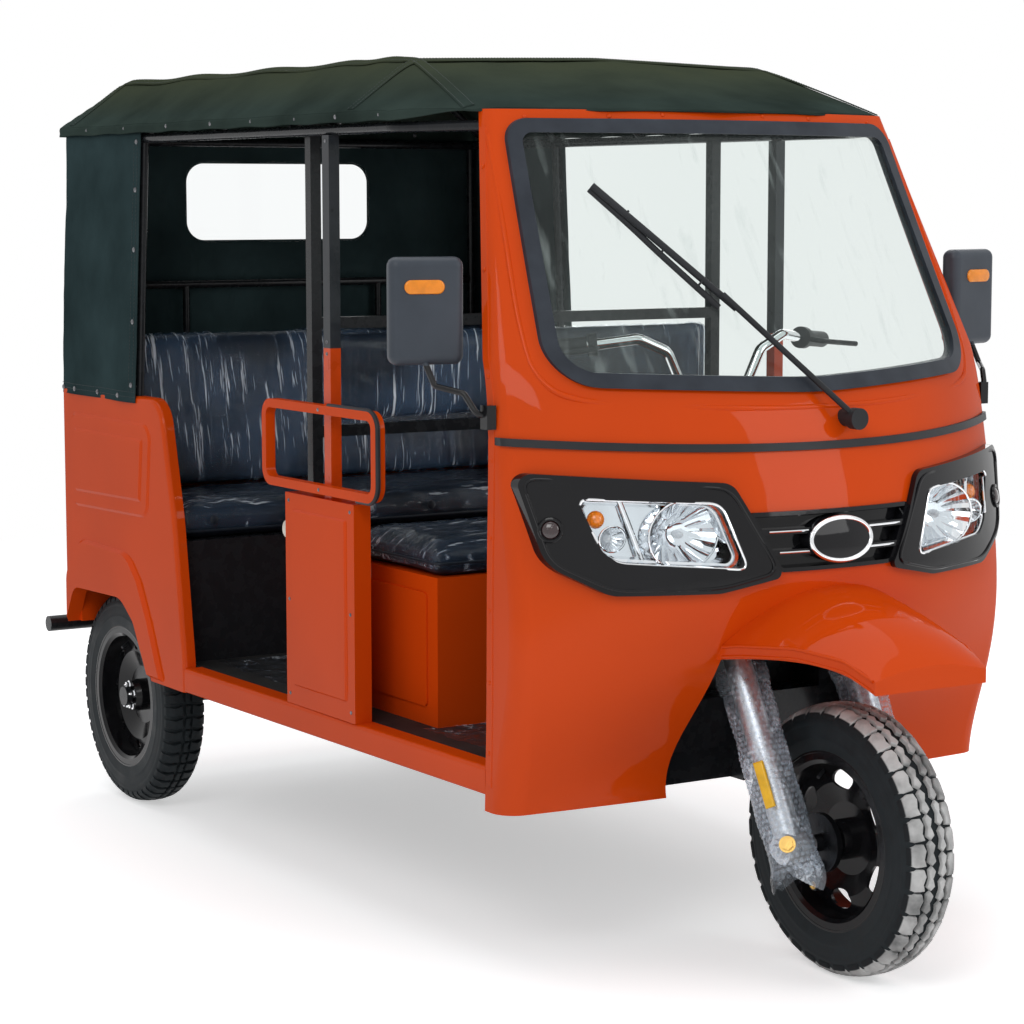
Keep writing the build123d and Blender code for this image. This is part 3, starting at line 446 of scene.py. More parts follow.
MAKERS = {
    "orange": orange_paint, "mirror_shell": mirror_shell, "screen": screen_glass, "vinyl": seat_vinyl,
    "mat": floor_mat, "thread": thread, "lens": lamp_lens, "front_tread": front_tread, "fork_metal": fork_metal,
    "post": post_paint,
    "black": lambda: black_paint("black_paint", paint().black, (0.2, 0.34)),
    "wheel": lambda: black_paint("wheel_enamel", (0.006, 0.006, 0.007), (0.1, 0.2)),
    "plastic": lambda: matt("moulded_black", ((0.016, 0.017, 0.019), (0.0272, 0.0289, 0.0323)),
                            ("Noise", 9.0, 5.0), 0.45, ("Voronoi", 900.0), 0.00012),
    "piano": lambda: matt("piano_black", ((0.004, 0.004, 0.005), (0.009, 0.009, 0.011)), ("Noise", 3.0, 3.0), 0.06,
                          ("Noise", 260.0), 0.00002, 0.25),
    "seal": lambda: matt("screen_rubber", ((0.018, 0.022, 0.030), (0.035, 0.042, 0.054)), ("Noise", 14.0, 6.0),
                         0.5, ("Noise", 500.0, 3.0), 0.0001),
    "tyre": lambda: matt("tyre_rubber", ((0.008, 0.011, 0.013), (0.020, 0.025, 0.028)), ("Noise", 26.0, 8.0),
                         (0.5, 0.7), RUBBER_GRAIN, 0.00016, 0.15, (0.35, 0.75)),
    "iron": lambda: speckled("cast_iron", ((0.05, 0.05, 0.05), (0.12, 0.115, 0.11)), IRON_GRAIN, (0.5, 0.75),
                             [(IRON_GRAIN, 0.0008)], Metallic=0.6),
    "dark_metal": lambda: speckled("dark_metal", ((0.10, 0.10, 0.11), (0.24, 0.24, 0.25)),
                                   ("Noise", 160.0, 4.0), (0.25, 0.45), span=(0.4, 0.7), Metallic=0.85),
    "bulb": lambda: speckled("bulb_glass", ((0.62, 0.63, 0.66), (0.80, 0.80, 0.80)), ("Noise", 300.0, 3.0), 0.15,
                             Coat_Weight=1.0),
    "chrome": lambda: chrome("chrome", 0.07, (0.82, 0.83, 0.85)),
    "mirror": lambda: chrome("mirror_silver", 0.01, (0.9, 0.9, 0.9)),
    "roof": lambda: canvas("roof_canvas", paint().roof, (1.70, 1.79)),
    "curtain": lambda: canvas("curtain_canvas", paint().curtain),
    # films: the second number is how white their creases are, partly milky film and partly painted highlight
    "film_seat": lambda: clear_film("seat_film", 0.17, (0.5, 3.6, 1.0), 13.0, 0.05),
    "film_back": lambda: clear_film("back_film", 0.18, (5.2, 1.0, 0.24), 12.0, 0.16),
    "wrap": lambda: clear_film("bubble_film", 0.14, (1.0, 1.0, 0.6), 34.0, 0.24, shade=(0.78, 0.85, 0.92)),
    "floor_film": lambda: clear_film("floor_film", 0.09, (1.0, 1.0, 1.0), 26.0, 0.01, 0.09),
    "film": lambda: Finish("clear_vinyl").see_through((0.97, 0.98, 0.98), 0.02, 0.18),
    "smoked": lambda: tinted("smoked_lens", (0.03, 0.006, 0.008), 0.06),
    "red": lambda: tinted("red_lamp", (0.72, 0.008, 0.010), glow=0.10, coat=0.3),
    "amber": lambda: tinted("amber_lens", (1.0, 0.25, 0.01), glow=0.25),
    "amber_flat": lambda: enamel("amber_reflector", (1.0, 0.30, 0.01)),
    "yellow": lambda: enamel("yellow_reflector", (1.0, 0.56, 0.01)),
    "zinc": lambda: enamel("yellow_zinc", (0.62, 0.40, 0.12), 0.28, 0.9),
    "ivory": lambda: enamel("ivory_knob", (0.80, 0.76, 0.66), 0.35),
}
# CAD nodes by finish
NODE_FINISHES = {
    "orange": "side_sills front_cowl front_mudguard quarter_panels tail_panel centre_panels guard_loops "
              "driver_seat_box",
    "black": "chassis_frame front_bulkhead rear_bumper driver_backrest_frame inner_rails roof_frame roof_bows "
             "rear_axle propeller_shaft leaf_springs exhaust fork bench_base",
    "post": "centre_pillars", "plastic": "instrument_panel wiper handlebar_controls belt_moulding",
    "mirror_shell": "mirrors", "piano": "lamp_surrounds grille", "seal": "windshield_seal",
    "screen": "windshield_glass", "lens": "headlamp_lenses", "chrome": "headlamp_reflectors handlebar",
    "mirror": "mirror_glasses", "red": "tail_lamps", "mat": "floor_pan", "iron": "engine",
    "fork_metal": "fork_sliders", "film": "rear_window", "wrap": "fork_wraps",
    "wheel": "front_rim rear_right_rim rear_left_rim", "tyre": "front_tyre rear_right_tyre rear_left_tyre",
    "vinyl": "driver_seat driver_backrest_pad bench_cushion bench_backrest", "roof": "canopy_roof",
    "curtain": "canopy_curtain",
}


@cache
def finish_of(name):
    return MAKERS[name]().material


def coat(obj, name):
    obj.data.materials.clear()
    obj.data.materials.append(finish_of(name))


class RICKSHAW_OT_finishes(bpy.types.Operator):
    """Give every CAD piece its finish"""
    bl_idname = "rickshaw.finishes"
    bl_label = "Finishes"

    def execute(self, context):
        for name, nodes in NODE_FINISHES.items():
            for node in nodes.split():
                coat(NODES[node], name)
        return {"FINISHED"}


# ---- making meshes
def clamp(value, low, high):
    return max(low, min(high, value))


def linked(name, data):
    obj = bpy.data.objects.new(name, data)
    bpy.context.scene.collection.objects.link(obj)
    return obj


def add_piece(name, mesh, finish, body="body", angle=35):
    """Link a finished mesh, or the parts of one, coat it and let it ride on a body."""
    if isinstance(mesh, list):
        mesh = joined(name, mesh)
    obj = linked(name, mesh)
    mesh.polygons.foreach_set("use_smooth", [True] * len(mesh.polygons))
    mesh.set_sharp_from_angle(angle=radians(angle))
    coat(obj, finish)
    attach(obj, body)
    return obj


def mesh_from(name, verts, faces, uvs=None):
    mesh = bpy.data.meshes.new(name)
    mesh.from_pydata([tuple(v) for v in verts], [], [tuple(f) for f in faces])
    if uvs is not None:
        layer = mesh.uv_layers.new(name="UVMap")
        corners = np.empty(len(mesh.loops), dtype=np.int32)
        mesh.loops.foreach_get("vertex_index", corners)
        layer.data.foreach_set("uv", np.asarray(uvs, dtype=np.float32)[corners].ravel())
    mesh.validate()
    return mesh


@contextmanager
def editing(mesh, into=None):
    """A mesh opened for editing, then written back or into another."""
    bm = bmesh.new()
    bm.from_mesh(mesh)
    yield bm
    bm.to_mesh(into or mesh)
    bm.free()


def grid_faces(rows, columns, closed=False):
    """Quads over a table of points; closed joins the last column to the first."""
    return [(r * columns + c, r * columns + (c + 1) % columns, (r + 1) * columns + (c + 1) % columns,
             (r + 1) * columns + c) for r in range(rows - 1) for c in range(columns if closed else columns - 1)]


def tube_faces(rings, sides):
    """Quads round a tube of rings, with a cap on each end."""
    caps = [tuple(reversed(range(sides))), tuple(range((rings - 1) * sides, rings * sides))]
    return grid_faces(rings, sides, closed=True) + caps


def fan(first, count, tip):
    """Triangles from a ring of points to one tip."""
    return [(first + i, first + (i + 1) % count, tip) for i in range(count)]


def outward(mesh):
    """Merge doubles and turn every face of a closed mesh outwards."""
    with editing(mesh) as bm:
        bmesh.ops.remove_doubles(bm, verts=bm.verts, dist=1e-6)
        bmesh.ops.recalc_face_normals(bm, faces=bm.faces)
    return mesh


def lathe(name, profile, centre, sides=96):
    """Turn a closed section of (x, radius) points about the X axis through centre."""
    count = len(profile)
    turns = np.linspace(0, 2 * pi, sides, endpoint=False)
    x, r = np.array(profile).T
    verts = np.stack([np.tile(x, sides), np.outer(np.sin(turns), r).ravel(), np.outer(np.cos(turns), r).ravel()], 1)
    faces = [(s * count + i, s * count + (i + 1) % count, ((s + 1) % sides) * count + (i + 1) % count,
              ((s + 1) % sides) * count + i) for s in range(sides) for i in range(count)]
    return outward(mesh_from(name, verts + np.array(centre), faces))


def sweep_tube(points, radius, sides=12, squash=1.0):
    """Verts and faces of a capped tube along a list of points."""
    points = [Vector(p) for p in points]
    verts, side = [], None
    for i, point in enumerate(points):
        ahead = (points[min(i + 1, len(points) - 1)] - points[max(i - 1, 0)]).normalized()
        if side is None:
            side = ahead.cross(Vector((0, 0, 1)) if abs(ahead.z) < 0.9 else Vector((1, 0, 0))).normalized()
        side = (side - ahead * side.dot(ahead)).normalized()
        up = ahead.cross(side)
        for s in range(sides):
            a = 2 * pi * s / sides
            verts.append(point + side * cos(a) * radius + up * sin(a) * radius * squash)
    return verts, tube_faces(len(points), sides)


def joined(name, parts):
    """One mesh from several (verts, faces) pairs."""
    verts, faces = [], []
    for some_verts, some_faces in parts:
        faces += [tuple(i + len(verts) for i in face) for face in some_faces]
        verts += [tuple(v) for v in some_verts]
    return outward(mesh_from(name, verts, faces))


def smooth_path(points, steps=8):
    """Catmull-Rom curve through the points."""
    points = [Vector(p) for p in points]
    ends = [points[0] * 2 - points[1]] + points + [points[-1] * 2 - points[-2]]
    path = []
    for a, b, c, d in zip(ends, ends[1:], ends[2:], ends[3:]):
        for i in range(steps):
            t = i / steps
            path.append(0.5 * ((2 * b) + (c - a) * t + (2 * a - 5 * b + 4 * c - d) * t ** 2
                               + (3 * b - a - 3 * c + d) * t ** 3))
    return path + [points[-1]]


def surface_of(*nodes):
    """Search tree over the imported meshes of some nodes."""
    verts, faces = [], []
    for node in nodes:
        mesh = NODES[node].data
        faces += [tuple(i + len(verts) for i in p.vertices) for p in mesh.polygons]
        verts += [v.co.copy() for v in mesh.vertices]
    return BVHTree.FromPolygons(verts, faces)


def onto(tree, start, heading, lift=0.0):
    """Point and outward normal first met from a start in a heading, the point raised by lift."""
    place, normal, _, _ = tree.ray_cast(Vector(start), Vector(heading).normalized(), 3.0)
    if place is None:
        raise RuntimeError(f"nothing is met from {tuple(start)}")
    if normal.dot(Vector(heading)) > 0:
        normal = -normal
    return place + normal * lift, normal


def baked(obj, name):
    """Plain mesh of an object with its modifiers applied; the object goes."""
    graph = bpy.context.evaluated_depsgraph_get()
    mesh = bpy.data.meshes.new_from_object(obj.evaluated_get(graph))
    mesh.name = name
    bpy.data.objects.remove(obj)
    return mesh


def thicken(obj, cloth):
    wall = obj.modifiers.new("thickness", "SOLIDIFY")
    wall.thickness, wall.offset = cloth, -1


# ---- Geometry Nodes
SOCKETS = {float: "NodeSocketFloat", int: "NodeSocketInt", tuple: "NodeSocketVector",
           type(None): "NodeSocketMaterial"}


class Tree(Nodes):
    """A Geometry Nodes group with named inputs."""

    def __init__(self, name, **inputs):
        super().__init__(bpy.data.node_groups.new(name, "GeometryNodeTree"))
        sockets = self.tree.interface
        for way in ("INPUT", "OUTPUT"):
            sockets.new_socket("Geometry", in_out=way, socket_type="NodeSocketGeometry")
        for label, value in inputs.items():
            socket = sockets.new_socket(label, in_out="INPUT", socket_type=SOCKETS[type(value)])
            if value is not None:
                socket.default_value = value
        self.given = self.add("NodeGroupInput").outputs

    def facing(self):
        return self.out("GeometryNodeInputNamedAttribute", data_type="FLOAT_VECTOR", Name="facing")

    def copies(self, points, piece, facing, size=None):
        """A copy of a piece on every point, its Z axis along a vector."""
        turn = self.out("FunctionNodeAlignRotationToVector", axis="Z", Vector=facing)
        return self.out("GeometryNodeInstanceOnPoints", points, Instance=piece, Rotation=turn, Scale=size)

    def finish(self, geometry):
        """Realize the copies, give them the material and close the tree."""
        real = self.out("GeometryNodeRealizeInstances", geometry)
        self.add("NodeGroupOutput", self.out("GeometryNodeSetMaterial", real, Material=self.given["Material"]))
        return self.tree


def grown(name, base, group, finish, **inputs):
    """Mesh that a Geometry Nodes group makes from a base mesh."""
    obj = linked(name, base)
    modifier = obj.modifiers.new("growth", "NODES")
    modifier.node_group = group
    identifiers = {item.name: item.identifier for item in group.interface.items_tree if item.in_out == "INPUT"}
    for label, value in (("Material", finish_of(finish)), *inputs.items()):
        modifier[identifiers[label]] = value
    obj.update_tag()
    return baked(obj, name)


@cache
def stud_tree():
    """A domed head on every point, square to the point's facing vector."""
    t = Tree("studs", Radius=0.006, Height=0.003, Sides=14, Rings=7, Material=None)
    given = t.given
    head = t.out("GeometryNodeMeshUVSphere", given["Sides"], given["Rings"], 1.0)
    size = t.out("ShaderNodeCombineXYZ", given["Radius"], given["Radius"], given["Height"])
    return t.finish(t.copies(given["Geometry"], head, t.facing(), size))


@cache
def bolt_tree():
    """A hexagon head with a washer on every point, square to its facing vector."""
    t = Tree("bolts", Radius=0.008, Height=0.006, Material=None)
    both_parts = t.add("GeometryNodeJoinGeometry")
    for sides, wide, tall in ((6, 1.0, 2.0), (20, 1.35, 0.5)):
        radius, depth = t.maths("MULTIPLY", t.given["Radius"], wide), t.maths("MULTIPLY", t.given["Height"], tall)
        disc = t.out("GeometryNodeMeshCylinder", fill_type="NGON", Vertices=sides, Radius=radius, Depth=depth)
        t.put(disc, both_parts.inputs[0])
    return t.finish(t.copies(t.given["Geometry"], both_parts.outputs[0], t.facing()))


@cache
def stitch_tree():
    """Short threads laid end to end along the base mesh's edges."""
    t = Tree("stitches", Length=0.006, Gap=0.002, Thickness=0.0006, Material=None)
    given = t.given
    line = t.out("GeometryNodeMeshToCurve", given["Geometry"])
    pitch = t.maths("ADD", given["Length"], given["Gap"])
    points = t.add("GeometryNodeCurveToPoints", line, mode="LENGTH", Length=pitch).outputs
    size = t.out("ShaderNodeCombineXYZ", given["Thickness"], given["Thickness"],
                 t.maths("MULTIPLY", given["Length"], 0.5))
    return t.finish(t.copies(points["Points"], t.out("GeometryNodeMeshUVSphere", 6, 4), points["Tangent"], size))


@cache
def ring_tree():
    """Copies of the base mesh turned evenly about the X axis, then moved to a centre."""
    t = Tree("ring", Count=40, Centre=(0.0, 0.0, 0.0), Material=None)
    given = t.given
    share = t.maths("DIVIDE", t.out("GeometryNodeInputIndex"), given["Count"])
    angles = t.out("ShaderNodeCombineXYZ", t.maths("MULTIPLY", share, 2 * pi))
    copies = t.out("GeometryNodeInstanceOnPoints", t.out("GeometryNodePoints", given["Count"]),
                   Instance=given["Geometry"], Rotation=t.out("FunctionNodeEulerToRotation", angles))
    return t.finish(t.out("GeometryNodeTransform", Geometry=copies, Translation=given["Centre"]))


def on_points(name, places, finish, body="body", maker=stud_tree, **sizes):
    """Studs, rivets or bolts on (place, facing) pairs."""
    base = mesh_from(name + "_points", [place for place, _ in places], [])
    facing = base.attributes.new("facing", "FLOAT_VECTOR", "POINT")
    facing.data.foreach_set("vector", [c for _, direction in places for c in Vector(direction).normalized()])
    return add_piece(name, grown(name, base, maker(), finish, **sizes), finish, body)


def stitched(name, paths, **sizes):
    """Rows of stitches along some paths."""
    verts, edges = [], []
    for path in paths:
        edges += [(len(verts) + i, len(verts) + i + 1) for i in range(len(path) - 1)]
        verts += [tuple(p) for p in path]
    base = bpy.data.meshes.new(name + "_path")
    base.from_pydata(verts, edges, [])
    return add_piece(name, grown(name, base, stitch_tree(), "thread", **sizes), "thread")


# ---- canvas roof
ROOF_LOW, ROOF_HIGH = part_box("canopy_roof")
ROOF_HALF = ROOF_HIGH.x
ROOF_TOP = ROOF_HIGH.z
HEM = ROOF_LOW.z
CREASE = 0.890                  # station of the roof's fold behind the visor
SHOULDER = 0.446                # half distance between the long seams
BAND_RISE = 0.0016              # how far a doubled seam stands up
ROOF_REAR = ROOF_HIGH.y - FRONT_AXLE
# front edge of the visor in plan, from the nose to the hip: x, station
VISOR_EDGE = [(0.0, 0.428), (0.262, 0.462), (0.508, 0.552), (ROOF_HALF, 0.725)]
# corners of the sloping facets: x, station, z
VISOR = {"nose": (0, 0.428, 1.692), "brow": (0.262, 0.462, 1.690), "corner": (0.508, 0.552, 1.685),
         "hip": (ROOF_HALF, 0.725, 1.685), "eave": (ROOF_HALF, CREASE, 1.685),
         "shoulder": (SHOULDER, CREASE, ROOF_TOP - 0.007), "crown": (0, CREASE, ROOF_TOP)}
FACETS = [("nose", "brow", "crown"), ("brow", "shoulder", "crown"), ("brow", "corner", "shoulder"),
          ("corner", "hip", "shoulder"), ("hip", "eave", "shoulder")]
REAR_FALL = ((2.350, ROOF_TOP), (2.408, 1.712))
BOWS = [CREASE, 1.014, 1.192, 1.560, 1.958, 2.300]
# stations and widths of the hem studs
SIDE_STUDS = (0.760, 0.945, 1.126, 1.335, 1.540, 1.775, 2.015, 2.240)
REAR_STUDS = (-0.42, -0.14, 0.14, 0.42)


def facet_height(names, x, s):
    a, b, c = (np.array(VISOR[name]) for name in names)
    n = np.cross(b - a, c - a)
    return a[2] - (n[0] * (x - a[0]) + n[1] * (s - a[1])) / n[2]


def soft_least(first, second, width=0.016):
    share = np.clip(0.5 + 0.5 * (second - first) / width, 0, 1)
    return second * (1 - share) + first * share - width * share * (1 - share)


def roof_height(x, s):
    """Height of the stretched canvas over a plan point."""
    x, s = np.abs(np.asarray(x, float)), np.asarray(s, float)
    height = ROOF_TOP - 0.0157 * x
    for names in FACETS:
        height = soft_least(height, facet_height(names, x, s))
    (s0, z0), (s1, z1) = REAR_FALL
    height = soft_least(height, z0 + (s - s0) * (z1 - z0) / (s1 - s0))
    for a, b in zip(BOWS, BOWS[1:]):
        t = np.clip((s - a) / (b - a), 0, 1)
        height = height - 0.016 * (b - a) * np.sin(pi * t) ** 2 * np.clip((ROOF_HALF - x) / 0.12, 0.25, 1)
    return height


def cloth_noise(place, scale, stretch=(1, 1, 1), seed=0.0):
    point = Vector((place[0] * stretch[0] + seed, place[1] * stretch[1], place[2] * stretch[2])) * scale
    return noise.fractal(point, 0.9, 2.1, 4)


def hem_height(top):
    """Height of the hem below a point of the canvas edge: turned up over the visor, level along the sides."""
    return HEM + (top.z - 0.006 - HEM) * clamp((0.72 - (top.y - FRONT_AXLE)) / 0.14, 0.0, 1.0)


def roof_mesh():
    """Canvas over the bows as one sheet: a field over the plan, then down the skirt to its hem."""
    t = np.linspace(-1, 1, 141)
    xs = ROOF_HALF * (0.55 * t + 0.45 * np.sin(t * pi / 2))
    front = np.interp(np.abs(xs), *zip(*VISOR_EDGE))
    for _ in range(3):
        front[1:-1] = (front[:-2] + 2 * front[1:-1] + front[2:]) / 4
    shares = np.linspace(0, 1, 171)[:, None]
    plan_x = np.tile(xs, (len(shares), 1))
    plan_s = front[None, :] + shares * (ROOF_REAR - front[None, :])
    height = roof_height(plan_x, plan_s)
    rows, columns = plan_x.shape
    verts = []
    for r in range(rows):
        for c in range(columns):
            px, ps, pz = plan_x[r, c], plan_s[r, c], height[r, c]
            inset = min(r, rows - 1 - r, c, columns - 1 - c) / 14
            ripple = 0.0045 * cloth_noise((px, ps, pz), 3.2, (1, 0.7, 1)) * min(inset, 1)
            verts.append(at(px, ps, pz + ripple - 0.002))
    faces = grid_faces(rows, columns)
    ring = ([r * columns for r in range(rows - 1)] + [(rows - 1) * columns + c for c in range(columns - 1)]
            + [r * columns + columns - 1 for r in range(rows - 1, 0, -1)] + list(range(columns - 1, 0, -1)))
    middle = at(0, 1.4, 0).y
    last = ring
    # how far down the skirt, and how far it stands out there
    for share, bulge in ((0.3, 0.0015), (0.62, 0.001), (0.86, 0.0022), (1.0, 0.0028)):
        fresh = list(range(len(verts), len(verts) + len(ring)))
        for i in ring:
            top = Vector(verts[i])
            away = Vector((top.x, (top.y - middle) * 0.3, 0)).normalized()
            wave = 0.0016 * sin(top.y * 21 + top.x * 17) * share
            place = top + away * (bulge + wave)
            place.x = clamp(place.x, -ROOF_HALF - 0.006, ROOF_HALF + 0.006)
            place.z = top.z + (hem_height(top) - top.z) * share + 0.0012 * sin(top.y * 33) * share
            verts.append(place)
        faces += zip(last, fresh, fresh[1:] + fresh[:1], last[1:] + last[:1])
        last = fresh
    return mesh_from("canvas_roof", verts, faces, [(v[0], v[1] - 0.6 * (v[2] - ROOF_TOP)) for v in verts])


def across_at(path, i):
    """Unit vector across a plan path at one of its points."""
    before, after = path[max(i - 1, 0)], path[min(i + 1, len(path) - 1)]
    return Vector((before[1] - after[1], after[0] - before[0])).normalized()


def on_canvas(x, s, lift, reach=ROOF_HALF):
    x = clamp(x, -reach, reach)
    return at(x, s, float(roof_height(x, s)) + lift)


def roof_strip(path, width, rise):
    """Doubled band of canvas that follows the roof along (x, station) points."""
    profile = [(-0.5, -0.001), (-0.47, rise * 0.8), (-0.3, rise), (0.3, rise), (0.47, rise * 0.8), (0.5, -0.001)]
    verts = []
    for i, (x, s) in enumerate(path):
        across = across_at(path, i)
        verts += [on_canvas(x + across.x * share * width, s + across.y * share * width, lift)
                  for share, lift in profile]
    return verts, tube_faces(len(path), len(profile))


def seam_row(line, shift, reach):
    """Row of stitches beside a seam's middle."""
    row = []
    for i, (x, s) in enumerate(line):
        across = across_at(line, i) * shift
        row.append(on_canvas(x + across.x, s + across.y, 0.0017, reach))
    return row


def plan_line(*corners, step=0.015):
    path = []
    for (x0, s0), (x1, s1) in zip(corners, corners[1:]):
        count = max(2, ceil(hypot(x1 - x0, s1 - s0) / step))
        path += [(x0 + (x1 - x0) * i / count, s0 + (s1 - s0) * i / count) for i in range(count)]
    return path + [corners[-1]]


class RICKSHAW_OT_roof(bpy.types.Operator):
    """Canvas roof stretched over the bows, with its seams, hem and studs"""
    bl_idname = "rickshaw.roof"
    bl_label = "Canvas roof"

    def execute(self, context):
        sizes = context.scene.rickshaw_roof
        roof = add_piece("canvas_roof", roof_mesh(), "roof", angle=60)
        thicken(roof, sizes.cloth)
        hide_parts("canopy_roof")
        reach = ROOF_HALF - 0.004
        lines = [plan_line((-reach, s), (reach, s)) for s in (CREASE, REAR_FALL[0][0])]
        for side in (-1, 1):
            lines += [plan_line((side * SHOULDER, CREASE), (side * x, s)) for x, s in ((0.512, 0.575), (0.450, 2.36))]
        bands = add_piece("roof_seams", [roof_strip(line, sizes.seam_width, BAND_RISE) for line in lines], "roof",
                          angle=60)
        rows = [seam_row(line, shift, reach) for line in lines for shift in (-0.0095, 0.0095)]
        seams = stitched("roof_stitches", rows, Length=sizes.stitch, Gap=0.0025, Thickness=0.0007)
        edges = [[at(side * (ROOF_HALF + 0.001), s, HEM + 0.017) for s in np.arange(0.745, ROOF_REAR - 0.01, 0.02)]
                 for side in (-1, 1)]
        hems = stitched("hem_stitches", edges, Length=0.006, Gap=0.003, Thickness=0.0008)
        places = [(at(side * (ROOF_HALF + 0.002), s, 1.6725), (side, 0, 0)) for side in (-1, 1) for s in SIDE_STUDS]
        places += [(at(x, ROOF_REAR + 0.001, 1.676), (0, 1, 0)) for x in REAR_STUDS]
        on_points("roof_studs", places, "dark_metal", Radius=sizes.stud, Height=0.0035)
        return {"FINISHED"}


# ---- rear curtain
CURTAIN_LOW, CURTAIN_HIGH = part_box("canopy_curtain")
CURTAIN_FOOT, CURTAIN_HEAD = CURTAIN_LOW.z, CURTAIN_HIGH.z
CURTAIN_HALF = (CURTAIN_HIGH.x - 0.001, 0.605)      # at its foot and its head
CURTAIN_FRONT = CURTAIN_LOW.y - FRONT_AXLE
CURTAIN_REAR = CURTAIN_HIGH.y - FRONT_AXLE - 0.001
CURTAIN_CORNER = 0.020
PANE_LOW, PANE_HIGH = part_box("rear_window")
PANE_MIDDLE, PANE_TALL = (PANE_HIGH.z + PANE_LOW.z) / 2, (PANE_HIGH.z - PANE_LOW.z) / 2
PANE_CORNER = 0.055
SIDE_SNAPS, FOOT_SNAPS = (1.640, 1.526, 1.384, 1.212, 1.060), (2.030, 2.166, 2.300, 2.385)   # heights, stations


def curtain_half(z):
    """Half of the curtain's width at a height."""
    share = (z - CURTAIN_FOOT) / (CURTAIN_HEAD - CURTAIN_FOOT)
    return CURTAIN_HALF[0] + (CURTAIN_HALF[1] - CURTAIN_HALF[0]) * share


def curtain_plan(half, steps_side=42, steps_rear=100, steps_corner=7):
    """Plan of the curtain as (x, station, normal) from its right front edge round to the left one."""
    inner, back = half - CURTAIN_CORNER, CURTAIN_REAR - CURTAIN_CORNER
    plan = [(-half, CURTAIN_FRONT + (back - CURTAIN_FRONT) * i / steps_side, (-1, 0)) for i in range(steps_side)]
    for i in range(steps_corner):
        a = pi / 2 * i / steps_corner
        plan.append((-inner - CURTAIN_CORNER * cos(a), back + CURTAIN_CORNER * sin(a), (-cos(a), sin(a))))
    mirrored = [(-x, s, (-n[0], n[1])) for x, s, n in reversed(plan)]
    return plan + [(-inner + 2 * inner * i / steps_rear, CURTAIN_REAR, (0, 1))
                   for i in range(steps_rear + 1)] + mirrored


def pane_outline(x, z):
    """Signed distance outside the rounded window opening."""
    dx = abs(x) - PANE_HIGH.x + PANE_CORNER
    dz = abs(z - PANE_MIDDLE) - PANE_TALL + PANE_CORNER
    return hypot(max(dx, 0), max(dz, 0)) + min(max(dx, dz), 0) - PANE_CORNER


def curtain_place(x, s, z, normal):
    """Hung cloth: shallow folds that open towards the foot, flat round the pane."""
    drop = (CURTAIN_HEAD - z) / (CURTAIN_HEAD - CURTAIN_FOOT)
    calm = clamp(pane_outline(x, z) / 0.09, 0.0, 1.0) if abs(normal[1]) > 0.5 else 1.0
    edge = min(1.0, (s - CURTAIN_FRONT) / 0.05)
    along = s if abs(normal[0]) > 0.5 else x
    fold = 0.0035 * sin(along * 23 + 2.2 * cloth_noise((x, s, z), 2.1)) * drop
    drag = 0.006 * cloth_noise((x, s, z * 0.55), 6.0, (1, 1, 1), 4.0)
    crease = 0.004 * max(0.0, cloth_noise((x + z * 0.5, s + z * 0.4, z), 9.0, (1, 1, 0.35), 9.0)) ** 2
    shift = clamp((fold + drag * 0.6 - crease) * calm * (0.35 + 0.65 * edge) - 0.003, -0.008, 0.004)
    return at(x + normal[0] * shift, s + normal[1] * shift, z)


def curtain_side(side, inset, z):
    """Place on a side of the curtain, a little behind its front edge."""
    return curtain_place(side * curtain_half(z), CURTAIN_FRONT + inset, z, (side, 0))


def curtain_mesh():
    """The whole sheet with its window opening cut out."""
    heights = np.linspace(CURTAIN_HEAD + 0.003, CURTAIN_FOOT, 76)
    flat = [(x, s, z, n) for z in heights for x, s, n in curtain_plan(curtain_half(z))]
    columns = len(flat) // len(heights)
    verts = [curtain_place(*point) for point in flat]
    open_at = [n[1] > 0.99 and pane_outline(x, z) < 0 for x, _, z, n in flat]
    faces = [f for f in grid_faces(len(heights), columns) if not all(open_at[i] for i in f)]
    used = sorted({i for f in faces for i in f})
    order = {old: new for new, old in enumerate(used)}
    kept = [to_pane_edge(verts[i]) if open_at[i] else verts[i] for i in used]
    run = np.linspace(0, 2.2, columns)
    uvs = [(run[i % columns], flat[i][2]) for i in used]
    return mesh_from("rear_curtain", kept, [tuple(order[i] for i in f) for f in faces], uvs)


def to_pane_edge(place):
    """Move a point inside the opening out to its rounded edge."""
    step = 0.001
    for _ in range(12):
        x, z = place.x, place.z
        gap = pane_outline(x, z)
        slope = Vector((pane_outline(x + step, z) - gap, 0, pane_outline(x, z + step) - gap))
        if slope.length < 1e-9:
            slope = Vector((x, 0, z - PANE_MIDDLE))
        place = place - slope.normalized() * gap
    return place


def pane_ring(width, depth, lift, sides=96):
    """Piped frame sewn round the window: verts and faces of a flat closed band."""
    half_x, half_z = PANE_HIGH.x - PANE_CORNER, PANE_TALL - PANE_CORNER
    profile = [(0.0, 0.0), (0.15, depth), (0.85, depth), (1.0, 0.0), (0.85, -0.001), (0.15, -0.001)]
    count = len(profile)
    verts = []
    for i in range(sides):
        a = 2 * pi * i / sides
        corner_x = half_x if cos(a) >= 0 else -half_x
        corner_z = half_z if sin(a) >= 0 else -half_z
        for share, rise in profile:
            r = PANE_CORNER - 0.006 + width * share
            verts.append(at(corner_x + cos(a) * r, CURTAIN_REAR + lift + rise, PANE_MIDDLE + corner_z + sin(a) * r))
    last = (sides - 1) * count
    return verts, grid_faces(sides, count, closed=True) + [
        (last + j, last + (j + 1) % count, (j + 1) % count, j) for j in range(count)]


